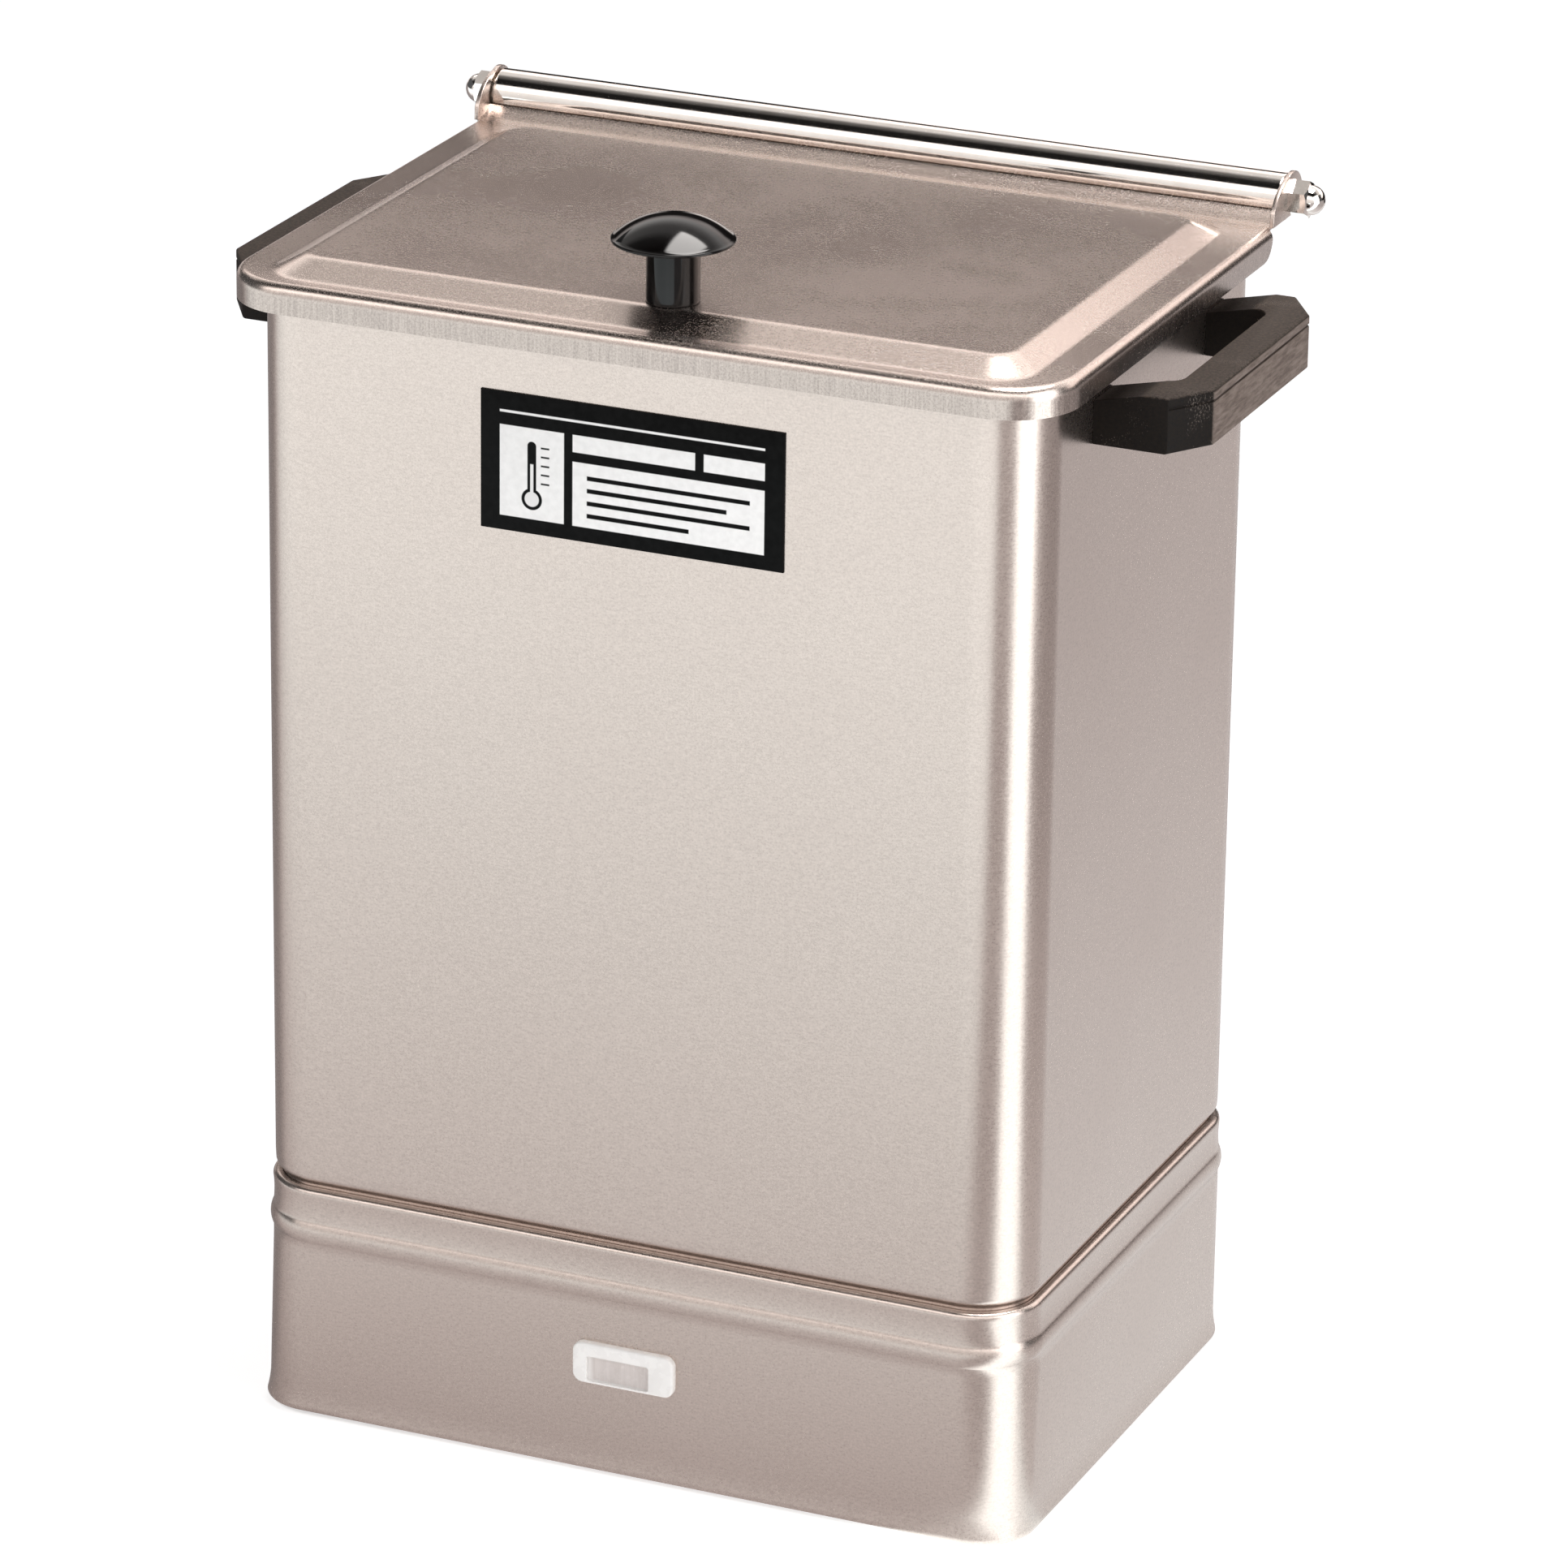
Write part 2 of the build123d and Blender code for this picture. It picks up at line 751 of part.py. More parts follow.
def build_lip():
    """The rear of the flange, curving up to the hinge tube."""
    start, end_z = skirt_end_y, flange_z + lip_rise
    run = lip_y(end_z) - start
    radius = (run**2 + lip_rise**2) / (2 * lip_rise)
    turn = math.asin(run / radius)

    def on_lip(r, angle):
        return (start + r * math.sin(angle), flange_z + radius - r * math.cos(angle))

    thick = radius + lid_sheet
    section = make_face([
        ThreePointArc(on_lip(radius, 0), on_lip(radius, turn / 2), on_lip(radius, turn)),
        Line(on_lip(radius, turn), on_lip(thick, turn)),
        ThreePointArc(on_lip(thick, turn), on_lip(thick, turn / 2), on_lip(thick, 0)),
        Line(on_lip(thick, 0), on_lip(radius, 0)),
    ])
    return extrude(side_view(-ear_inner_x) * section, amount=2 * ear_inner_x)


def build_lid():
    """The pressed lid: skirt, flange, raised panel and curved rear lip, one sheet thick."""
    lid = flange_block(0, skirt_z, flange_z, skirt_end_y, lid_edge_radius)
    inner_radius = lid_edge_radius - lid_sheet
    hollow = flange_block(lid_sheet, skirt_z - cut_over, lid_under_z, skirt_end_y + cut_over, inner_radius)
    panel = panel_block(0, flange_z, panel_z)
    panel = fillet(panel.edges().group_by(Axis.Z)[-1], panel_edge_radius)
    dish = panel_block(lid_sheet / 4, lid_under_z, panel_z - lid_sheet)
    lid = lid + panel - hollow - dish
    corner_y = skirt_end_y - skirt_end_radius
    corner_z = skirt_z + skirt_end_radius
    width = 2 * (lid_half_width + cut_over)
    reach = skirt_end_radius + cut_over
    rounding = Box(width, reach, reach, align=(Align.CENTER, Align.MIN, Align.MAX))
    rounding = Pos(0, corner_y, corner_z) * rounding
    rounding -= rod_between((-width, corner_y, corner_z), (width, corner_y, corner_z), 2 * skirt_end_radius)
    lid = lid - rounding + build_lip()
    screw_hole = knob_screw_diameter + loose_clearance
    return lid - upright(knob_x, knob_y, lid_under_z, panel_z + cut_over, screw_hole)


def ear_section():
    """Side view of an ear: flat foot, curved front and a round back about the hinge axis."""
    back = (hinge_y + math.sqrt(ear_rear_radius**2 - (hinge_z - ear_foot_z) ** 2), ear_foot_z)
    turn = math.radians(ear_crown_angle)
    crown = (hinge_y + ear_rear_radius * math.cos(turn), hinge_z + ear_rear_radius * math.sin(turn))
    front = (skirt_end_y + ear_front_setback, ear_foot_z)
    brow = (front[0] + ear_brow_lean, flange_z + ear_brow_height)
    middle = ((brow[0] + crown[0]) / 2 - ear_bow_forward, (brow[1] + crown[1]) / 2 + ear_bow_up)
    return make_face([
        Polyline(back, front, brow),
        ThreePointArc(brow, middle, crown),
        ThreePointArc(crown, (hinge_y + ear_rear_radius, hinge_z), back),
    ])


def build_ear(side):
    """One ear, welded to the end of the rear lip, with the rod hole."""
    ear = extrude(side_view(side * ear_inner_x) * ear_section(), amount=side * ear_thickness)
    return ear - along_hinge(0, side * (ear_outer_x + cut_over), rod_diameter + snug_clearance)


# Hinge ------------------------------------------------------------------------------------------

def build_hinge_tube():
    """The full width tube that carries the lid's rod."""
    reach = tube_end_x + cut_over
    tube = along_hinge(-tube_end_x, tube_end_x, hinge_tube_diameter)
    return tube - along_hinge(-reach, reach, hinge_tube_bore)


def build_tube_plugs():
    """Bearing plugs in the ends of the hinge tube."""
    plugs = []
    for side in (-1, 1):
        plug = along_hinge(side * (tube_end_x - plug_length), side * tube_end_x, hinge_tube_bore)
        bore = rod_diameter + 2 * rod_running_clearance
        plugs.append(plug - along_hinge(0, side * (tube_end_x + cut_over), bore))
    return plugs


def build_hinge_rod():
    """The straight rod through the ears and the tube."""
    reach = ear_outer_x + rod_tail
    return along_hinge(-reach, reach, rod_diameter)


def build_washers():
    """Thin washers between the tube ends and the ears."""
    washers = []
    for side in (-1, 1):
        outer = ear_inner_x - contact_gap
        washer = along_hinge(side * (outer - washer_thickness), side * outer, washer_diameter)
        washers.append(washer - along_hinge(0, side * ear_outer_x, rod_diameter + snug_clearance))
    return washers


def build_acorn_nuts():
    """Domed cap nuts on the rod's threaded ends."""
    corner = nut_flats / math.sqrt(3)
    section = make_face([
        Polyline(
            (0, nut_length),
            (0, 0),
            (corner, 0),
            (corner, nut_hex_length - (corner - nut_dome_radius) * nut_chamfer_ratio),
            (nut_dome_radius, nut_hex_length),
        ),
        dome_arc(nut_dome_radius, nut_hex_length, nut_length),
    ])
    nut = revolve(Plane.XZ * section, Axis.Z) & hex_block(0, 0, 0, nut_length, nut_flats)
    nut -= upright(0, 0, -cut_over, rod_tail + snug_clearance, rod_diameter + snug_clearance)
    right = Pos(ear_outer_x, hinge_y, hinge_z) * Rot(0, 90, 0) * nut
    left = Pos(-ear_outer_x, hinge_y, hinge_z) * Rot(0, -90, 0) * nut
    return [left, right]


def build_hinge_bracket():
    """Strip riveted to the rear wall, with a saddle that holds the hinge tube."""
    inner = hinge_tube_diameter / 2
    outer = inner + bracket_sheet
    start, end = math.radians(saddle_start), math.radians(saddle_end)
    middle = (start + end) / 2

    def around(radius, angle):
        return (hinge_y + radius * math.cos(angle), hinge_z + radius * math.sin(angle))

    saddle = make_face([
        ThreePointArc(around(inner, start), around(inner, middle), around(inner, end)),
        Line(around(inner, end), around(outer, end)),
        ThreePointArc(around(outer, end), around(outer, middle), around(outer, start)),
        Line(around(outer, start), around(inner, start)),
    ])
    leg_top = hinge_z - inner
    leg_middle = Pos(half_depth + bracket_sheet / 2, leg_top - bracket_leg / 2)
    leg = leg_middle * Rectangle(bracket_sheet, bracket_leg)
    reach = half_width - bracket_end_inset
    bracket = extrude(side_view(-reach) * (saddle + leg), amount=2 * reach)
    for x in rivet_places():
        bracket -= across_wall(x, half_depth, rivet_z, cut_over, bracket_sheet + cut_over, rivet_diameter)
    return bracket


def build_rivets():
    """Dome head rivets through the bracket and the jacket, with small tails inside."""
    outside = half_depth + bracket_sheet
    inside = half_depth - jacket_sheet
    tail_y = inside - rivet_tail_height
    head_y = outside + rivet_head_height
    rivets = []
    for x in rivet_places():
        head = rod_between((x, outside, rivet_z), (x, head_y, rivet_z), rivet_head_diameter)
        head = fillet(head.edges().sort_by(Axis.Y)[-1], rivet_round)
        shank = rod_between((x, tail_y, rivet_z), (x, outside, rivet_z), rivet_diameter)
        tail = rod_between((x, tail_y, rivet_z), (x, inside, rivet_z), rivet_tail_diameter)
        rivets.append(head + shank + tail)
    return rivets


# Knob -------------------------------------------------------------------------------------------

def build_knob():
    """Moulded mushroom knob with a domed cap, hollow at its screw."""
    cap, stem, foot = knob_cap_diameter / 2, knob_stem_diameter / 2, knob_foot_diameter / 2
    neck = knob_neck_diameter / 2
    under = knob_rim_height - knob_under_rise
    rim_inner = cap - knob_rim_roll
    rim_low = (rim_inner, knob_rim_height - knob_rim_roll)
    rim_high = (rim_inner, knob_rim_height + knob_rim_roll)
    bow = ((neck + rim_inner) / 2 + knob_under_bow, (under + rim_low[1]) / 2 - knob_under_sag)
    section = make_face([
        Polyline((0, 0), (foot, 0), (foot, knob_foot_height), (stem, knob_foot_height + knob_foot_fall)),
        Line((stem, knob_foot_height + knob_foot_fall), (neck, under)),
        ThreePointArc((neck, under), bow, rim_low),
        ThreePointArc(rim_low, (cap, knob_rim_height), rim_high),
        dome_arc(*rim_high, knob_height),
        Line((0, knob_height), (0, 0)),
    ])
    knob = revolve(Plane.XZ * section, Axis.Z)
    knob -= upright(0, 0, -cut_over, knob_screw_depth + cut_over, knob_screw_diameter + snug_clearance)
    return Pos(knob_x, knob_y, panel_z) * knob


def build_knob_screw():
    """Screw that holds the knob from inside the lid."""
    screw = pan_screw(knob_screw_diameter, lid_sheet + knob_screw_depth)
    return Pos(knob_x, knob_y, panel_z - lid_sheet) * Rot(180, 0, 0) * screw


# Side handles -----------------------------------------------------------------------------------

def handle_outline():
    """Plan of the right handle: X outward from the wall, Y along it."""
    end, flat = handle_half_length, handle_flat_half
    inner_end = end - handle_arm
    inner_x = handle_reach - handle_grip
    outline = make_face(Polyline(
        (0, -end),
        (handle_corner_reach, -end),
        (handle_reach, -flat),
        (handle_reach, flat),
        (handle_corner_reach, end),
        (0, end),
        (0, inner_end),
        (inner_x, inner_end),
        (inner_x, -inner_end),
        (0, -inner_end),
        (0, -end),
    ))
    corners = outline.vertices().filter_by(lambda corner: 0 < corner.X < handle_corner_reach)
    return fillet(corners, handle_inner_radius)


def build_right_handle():
    """Moulded grip with two arms that slope down to the wall, and a groove round its outer face."""
    outline = handle_outline()
    middle_z = handle_height / 2
    reach = 2 * handle_half_length
    handle = extrude(outline, amount=handle_height)
    outer_edges = handle.edges().filter_by(lambda edge: edge.center().X > handle_corner_reach)
    rims = outer_edges.filter_by(lambda edge: abs(edge.center().Z - middle_z) > handle_edge_radius)
    handle = fillet(rims, handle_edge_radius)

    slope = (handle_height - handle_root_height) / handle_slope_start
    wedge = make_face(Polyline(
        (-cut_over, handle_root_height - cut_over * slope),
        (handle_slope_start, handle_height),
        (handle_slope_start, handle_height + cut_over),
        (-cut_over, handle_height + cut_over),
        (-cut_over, handle_root_height - cut_over * slope),
    ))
    handle -= extrude(Plane.XZ * wedge, amount=reach, both=True)

    groove_z = handle_height - handle_groove_drop - handle_groove_width
    ring = outline - offset(outline, -handle_groove_depth)
    ring = extrude(Pos(0, 0, groove_z) * ring, amount=handle_groove_width)
    outer_half = Box(handle_reach, 2 * reach, handle_height, align=(Align.MIN, Align.CENTER, Align.MIN))
    handle -= ring & Pos(handle_corner_reach, 0, 0) * outer_half
    for end in (-1, 1):
        place = (0, end * handle_screw_y, handle_root_height / 2)
        depth = (handle_screw_depth + cut_over, end * handle_screw_y, handle_root_height / 2)
        handle -= rod_between(place, depth, handle_screw_diameter + snug_clearance)
    return Pos(half_width, handle_y, handle_z) * handle


def build_handle_screws():
    """Pan head screws from inside the jacket into the handles' feet."""
    screw = pan_screw(handle_screw_diameter, jacket_sheet + handle_screw_depth)
    screws = []
    for side, y in handle_screw_places():
        x = side * (half_width - jacket_sheet)
        screws.append(Pos(x, y, handle_screw_z) * Rot(0, -side * 90, 0) * screw)
    return screws


# Front plate and pilot lamp ---------------------------------------------------------------------

def build_front_plate():
    """Thin plain plate on the upper front."""
    y = -half_depth - front_plate_sheet / 2
    return Pos(0, y, front_plate_z) * Box(front_plate_width, front_plate_sheet, front_plate_height)


def build_pilot_lens():
    """Snap-in lamp lens: a bezel with a recessed window and a hollow body behind it."""
    wall_y = -half_depth - base_proud
    wall = front_view(wall_y, lens_z)
    face = front_view(wall_y - lens_thickness, lens_z)
    bezel = extrude(wall * RectangleRounded(lens_width, lens_height, lens_corner), amount=lens_thickness)
    bezel = fillet(bezel.edges().group_by(Axis.Y)[0], lens_edge_radius)
    body = extrude(wall * Rectangle(lens_body_width, lens_body_height), amount=-lens_body_depth)
    cavity = wall * Rectangle(lens_body_width - 2 * lens_wall, lens_body_height - 2 * lens_wall)
    window = RectangleRounded(lens_window_width, lens_window_height, lens_edge_radius)
    recess = extrude(face * Pos(lens_window_x, -lens_window_drop) * window, amount=-lens_window_depth)
    return bezel + body - extrude(cavity, amount=-lens_body_depth - cut_over) - recess


def build_pilot_lamp():
    """Small glow lamp lying across the lens body."""
    y = -half_depth - base_proud + lens_body_depth / 2
    half = lamp_length / 2
    lamp = rod_between((-half, y, lens_z), (half, y, lens_z), lamp_diameter)
    return fillet(lamp.edges().filter_by(GeomType.CIRCLE), lamp_end_radius)


def build_lamp_carrier():
    """Clip that closes the lens body and holds the lamp."""
    back = -half_depth - base_proud + lens_body_depth
    lamp_y = back - lens_body_depth / 2
    width = lens_body_width - 2 * lens_wall - loose_clearance
    height = lens_body_height - 2 * lens_wall - loose_clearance
    plate = Box(lens_body_width, carrier_thickness, lens_body_height)
    cradle_depth = (lens_body_depth - lamp_diameter) / 2 + carrier_seat
    carrier = Pos(0, back + carrier_thickness / 2, lens_z) * plate
    carrier += Pos(0, back - cradle_depth / 2, lens_z) * Box(width, cradle_depth, height)
    ends = (-lens_width, lamp_y, lens_z), (lens_width, lamp_y, lens_z)
    return carrier - rod_between(*ends, lamp_diameter + snug_clearance)


# Heating element and thermostat -----------------------------------------------------------------

def build_element():
    """Sheathed heating tube in a flat loop under the tank floor, with both ends turned down."""
    low = element_z - element_drop
    x, y, z = element_x, element_y, element_z
    points = [(-x, -y, low), (-x, -y, z), (x, -y, z), (x, y, z), (-x, y, z), (-x, y, low)]
    return bent_rod(points, [element_bend, element_turn, element_turn, element_bend], element_diameter)


def build_element_terminals():
    """Ceramic beads with terminal pins at the element's ends."""
    low = element_z - element_drop
    terminals = []
    for y in (-element_y, element_y):
        bead = upright(-element_x, y, low - insulator_length, low, insulator_diameter)
        pin_end = low - insulator_length - terminal_length
        terminals.append(bead + upright(-element_x, y, pin_end, low - insulator_length, terminal_diameter))
    return terminals


def build_element_clamps():
    """Flat bars that press the element and the bulb to the tank floor."""
    clamps = []
    bar = Box(clamp_width, 2 * (element_y + clamp_overhang), clamp_sheet)
    bar -= Cylinder((clamp_stud_diameter + loose_clearance) / 2, clamp_sheet + cut_over)
    for x in (-clamp_x, clamp_x):
        clamps.append(Pos(x, 0, clamp_top_z - clamp_sheet / 2) * bar)
    return clamps


def build_clamp_studs():
    """Short studs welded under the tank floor, one for each clamp bar."""
    foot = clamp_under_z - clamp_nut_height - clamp_stud_tail
    return [upright(x, 0, foot, tank_floor_z, clamp_stud_diameter) for x in (-clamp_x, clamp_x)]


def build_clamp_nuts():
    """Nuts under the clamp bars."""
    low = clamp_under_z - clamp_nut_height
    return [
        hex_nut(x, 0, low, clamp_under_z, clamp_nut_flats, clamp_stud_diameter)
        for x in (-clamp_x, clamp_x)
    ]


def build_thermostat_bulb():
    """Sensing bulb under the tank floor and its capillary down to the thermostat."""
    half = bulb_length / 2
    bulb = rod_between((-half, bulb_y, element_z), (half, bulb_y, element_z), element_diameter)
    turn_z = thermostat_top_z + capillary_turn_rise
    entry_y = thermostat_y + capillary_entry
    points = [
        (half - cut_over, bulb_y, element_z),
        (capillary_x, bulb_y, element_z),
        (capillary_x, bulb_y, turn_z),
        (thermostat_x, entry_y, turn_z),
        (thermostat_x, entry_y, thermostat_top_z),
    ]
    return bulb + bent_rod(points, capillary_bend, capillary_diameter)


def thermostat_screw_places():
    """The two screw places across the thermostat body."""
    half = thermostat_screw_spacing / 2
    return [(thermostat_x - half, thermostat_y - half), (thermostat_x + half, thermostat_y + half)]


def build_thermostat():
    """Thermostat body on the bottom plate, bored for its adjusting stem."""
    middle = plate_top_z + thermostat_height / 2
    body = Box(thermostat_width, thermostat_width, thermostat_height)
    body = chamfer(body.edges().filter_by(Axis.Z), thermostat_chamfer)
    body = Pos(thermostat_x, thermostat_y, middle) * body
    bore = stem_diameter + 2 * rod_running_clearance
    body -= upright(thermostat_x, thermostat_y, plate_under_z, thermostat_top_z - thermostat_roof, bore)
    screw_top = plate_top_z + thermostat_screw_grip + loose_clearance
    for x, y in thermostat_screw_places():
        body -= upright(x, y, plate_under_z, screw_top, thermostat_screw_diameter + snug_clearance)
    return body


def build_thermostat_screws():
    """Screws up through the bottom plate into the thermostat."""
    screw = pan_screw(thermostat_screw_diameter, plate_sheet + thermostat_screw_grip)
    return [Pos(x, y, plate_under_z) * Rot(180, 0, 0) * screw for x, y in thermostat_screw_places()]


def build_thermostat_stem():
    """Adjusting stem with a screwdriver slot, reached from under the base."""
    top = thermostat_top_z - thermostat_roof - stem_end_gap
    stem = upright(thermostat_x, thermostat_y, stem_reach, top, stem_diameter)
    slot = Box(stem_diameter + cut_over, stem_slot_width, 2 * stem_slot_depth)
    return stem - Pos(thermostat_x, thermostat_y, stem_reach) * slot


# Terminal block, leads and cord bushing ---------------------------------------------------------

def block_way_x(way):
    """X of one way of the terminal block."""
    pitch = block_length / block_ways
    return block_x - block_length / 2 + (way + 0.5) * pitch


def build_terminal_block():
    """Moulded terminal block on the bottom plate, with one raised cell for each way."""
    base_height = block_height - block_cell_height
    cell_width = block_length / block_ways - block_cell_gap
    cell = Box(cell_width, block_width - 2 * block_cell_setback, block_cell_height)
    block = Pos(block_x, block_y, plate_top_z + base_height / 2) * Box(block_length, block_width, base_height)
    bore = block_screw_diameter + snug_clearance
    for way in range(block_ways):
        x = block_way_x(way)
        block += Pos(x, block_y, block_top_z - block_cell_height / 2) * cell
        block -= upright(x, block_y, block_top_z - block_bore_depth, block_top_z + cut_over, bore)
    return block


def build_block_screws():
    """Clamping screws of the terminal block."""
    top = block_top_z + block_screw_stand
    return [
        upright(block_way_x(way), block_y, top - block_screw_length, top, block_screw_diameter)
        for way in range(block_ways)
    ]


def build_leads():
    """Insulated leads from the terminal block to the element, the thermostat and the lamp."""
    level = plate_top_z + lead_rise
    rear, front = block_y + block_width / 2, block_y - block_width / 2
    pin_z = element_z - element_drop - insulator_length - terminal_length
    routes = []
    for way, start_y, end_y in ((0, rear, element_y), (1, front, -element_y)):
        x = block_way_x(way)
        routes.append([
            (x, start_y, level),
            (x, end_y + lead_sweep, level),
            (-element_x, end_y, level + lead_lift),
            (-element_x, end_y, pin_z),
        ])
    x = block_way_x(2)
    side = thermostat_x - thermostat_width / 2
    turn_y = thermostat_y + thermostat_lead_offset
    routes.append([(x, front, level), (x, turn_y, level), (side, turn_y, level)])
    x = block_way_x(3)
    lamp_y = -half_depth - base_proud + lens_body_depth + carrier_thickness
    routes.append([
        (x, front, level),
        (x, lamp_y + 2 * lamp_lead_run, level),
        (lamp_lead_x, lamp_y + lamp_lead_run, lens_z),
        (lamp_lead_x, lamp_y, lens_z),
    ])
    return [bent_rod(points, lead_bend, lead_diameter) for points in routes]


def build_bushing():
    """Rubber bushing in the rear wall where the mains cord enters."""
    outer = half_depth + base_proud
    inner = outer - base_sheet
    lip = bushing_flange_thickness

    def disc(y_low, y_high, diameter):
        return rod_between((bushing_x, y_low, bushing_z), (bushing_x, y_high, bushing_z), diameter)

    bushing = disc(outer, outer + lip, bushing_flange) + disc(inner - lip, inner, bushing_flange)
    bushing += disc(inner, outer, bushing_neck)
    bushing = fillet(bushing.edges().group_by(Axis.Y)[-1], bushing_edge_radius)
    return bushing - disc(inner - lip - cut_over, outer + lip + cut_over, bushing_bore)


# Pack rack --------------------------------------------------------------------------------------

def build_rack_floor():
    """Welded wire floor: two skids, a frame, cross supports and one rail for each divider."""
    frame_width = 2 * rack_half_width - rack_frame_wire
    frame_depth = 2 * rack_half_depth - rack_frame_wire
    outline = Pos(0, 0, rack_frame_z) * RectangleRounded(frame_width, frame_depth, rack_corner)
    path = outline.face().outer_wire()
    rack = sweep(Plane(origin=path @ 0, z_dir=path % 0) * Circle(rack_frame_wire / 2), path=path)
    skid_reach = rack_half_width - skid_inset_x
    for side in (-1, 1):
        y = side * (rack_half_depth - skid_inset_y)
        rack += rod_between((-skid_reach, y, skid_z), (skid_reach, y, skid_z), rack_frame_wire)
    for step in range(support_count):
        x = (step - (support_count - 1) / 2) * support_x
        ends = (x, -frame_depth / 2, rack_frame_z), (x, frame_depth / 2, rack_frame_z)
        rack += rod_between(*ends, rack_frame_wire)
    for rail in range(1, pack_count):
        y = divider_y(rail)
        rack += rod_between((-frame_width / 2, y, rack_rail_z), (frame_width / 2, y, rack_rail_z), rack_wire)
    return rack


def divider_y(rail):
    """Y of one divider, from the front one to the back one."""
    return (rail - pack_count / 2) * pack_pitch


def build_rack_dividers():
    """Hairpin loops that keep the packs apart, two in each row."""
    dividers = []
    half = divider_span / 2
    for row in range(pack_count + 1):
        y = divider_y(row)
        inward = 1 if row <= pack_count / 2 else -1
        beside = y + inward * rack_wire
        if row in (0, pack_count):
            beside = y + inward * (rack_frame_wire + rack_wire) / 2
        foot = rack_frame_z
        for middle in (-divider_x, divider_x):
            points = [
                (middle - half, beside, foot),
                (middle - half, beside, divider_top_z),
                (middle + half, beside, divider_top_z),
                (middle + half, beside, foot),
            ]
            dividers.append(bent_rod(points, divider_bend, rack_wire))
    return dividers


def build_rack_bails():
    """Tall end loops by which the rack is lifted out."""
    bails = []
    half = bail_span / 2
    for side in (-1, 1):
        x = side * (rack_half_width - rack_frame_wire / 2)
        foot = rack_frame_z + rack_frame_wire / 2
        points = [(x, -half, foot), (x, -half, bail_top_z), (x, half, bail_top_z), (x, half, foot)]
        bails.append(bent_rod(points, bail_bend, rack_frame_wire))
    return bails


def main():
    """Build every sub-part and write it to its own file."""
    os.makedirs("parts", exist_ok=True)
    right_handle = build_right_handle()
    single = {
        "jacket": build_jacket(),
        "inner_tank": build_tank(),
        "insulation_sleeve": build_insulation_sleeve(),
        "insulation_pad": build_insulation_pad(),
        "base_housing": build_base_housing(),
        "bottom_plate": build_bottom_plate(),
        "lid": build_lid(),
        "left_ear": build_ear(-1),
        "right_ear": build_ear(1),
        "hinge_tube": build_hinge_tube(),
        "hinge_rod": build_hinge_rod(),
        "hinge_bracket": build_hinge_bracket(),
        "knob": build_knob(),
        "knob_screw": build_knob_screw(),
        "right_handle": right_handle,
        "left_handle": mirror(right_handle, about=Plane.YZ),
        "front_plate": build_front_plate(),
        "pilot_lens": build_pilot_lens(),
        "pilot_lamp": build_pilot_lamp(),
        "lamp_carrier": build_lamp_carrier(),
        "heating_element": build_element(),
        "thermostat_bulb": build_thermostat_bulb(),
        "thermostat_body": build_thermostat(),
        "thermostat_stem": build_thermostat_stem(),
        "terminal_block": build_terminal_block(),
        "cord_bushing": build_bushing(),
        "rack_floor": build_rack_floor(),
    }
    groups = {
        "tie_studs": build_tie_studs(),
        "tie_nuts": build_tie_nuts(),
        "rubber_feet": build_feet(),
        "foot_screws": build_foot_screws(),
        "foot_nuts": build_foot_nuts(),
        "tube_plugs": build_tube_plugs(),
        "hinge_washers": build_washers(),
        "acorn_nuts": build_acorn_nuts(),
        "bracket_rivets": build_rivets(),
        "handle_screws": build_handle_screws(),
        "element_terminals": build_element_terminals(),
        "element_clamps": build_element_clamps(),
        "clamp_studs": build_clamp_studs(),
        "clamp_nuts": build_clamp_nuts(),
        "thermostat_screws": build_thermostat_screws(),
        "block_screws": build_block_screws(),
        "leads": build_leads(),
        "rack_dividers": build_rack_dividers(),
        "rack_bails": build_rack_bails(),
    }
    for name, part in single.items():
        export(part, name)
    for name, solids in groups.items():
        export(Compound([solid.solid() for solid in solids]), name)


main()
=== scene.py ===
"""Looks of a bench heater for hot packs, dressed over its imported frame.

The heater's sizes are in millimetres, and those of materials and of the studio in metres.
"""

import json
import math

import bmesh
import bpy
from mathutils import Matrix, Vector

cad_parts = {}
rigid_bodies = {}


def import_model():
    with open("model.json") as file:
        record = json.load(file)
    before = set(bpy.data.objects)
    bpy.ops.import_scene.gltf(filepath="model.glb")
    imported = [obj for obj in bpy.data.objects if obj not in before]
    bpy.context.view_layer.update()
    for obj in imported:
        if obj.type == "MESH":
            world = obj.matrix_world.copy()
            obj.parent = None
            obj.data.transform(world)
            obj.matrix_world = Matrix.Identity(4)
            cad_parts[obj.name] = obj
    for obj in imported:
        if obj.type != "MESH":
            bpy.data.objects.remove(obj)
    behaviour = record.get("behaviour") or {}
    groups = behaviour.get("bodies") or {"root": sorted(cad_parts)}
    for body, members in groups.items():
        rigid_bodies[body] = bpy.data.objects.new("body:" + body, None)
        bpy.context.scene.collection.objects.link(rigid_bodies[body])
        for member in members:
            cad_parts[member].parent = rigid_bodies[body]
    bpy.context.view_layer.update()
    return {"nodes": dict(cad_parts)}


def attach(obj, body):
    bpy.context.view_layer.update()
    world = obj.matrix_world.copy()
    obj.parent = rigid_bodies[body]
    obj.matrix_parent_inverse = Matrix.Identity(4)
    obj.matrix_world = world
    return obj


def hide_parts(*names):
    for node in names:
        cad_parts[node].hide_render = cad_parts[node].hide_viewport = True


MM = 0.001
QUARTER = math.pi / 2

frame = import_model()


# Modelling helpers ------------------------------------------------------------------------------

WELD_GAP = 0.002  # doubles of a new piece
NODE_WELD_GAP = 0.001  # doubles of a CAD mesh
FLAT_ANGLE, SHARP_ANGLE, SMOOTH_ANGLE = 0.5, 25, 32


def put_down():
    """Leave edit mode with nothing selected."""
    if bpy.context.mode != "OBJECT":
        bpy.ops.object.mode_set(mode="OBJECT")
    bpy.ops.object.select_all(action="DESELECT")


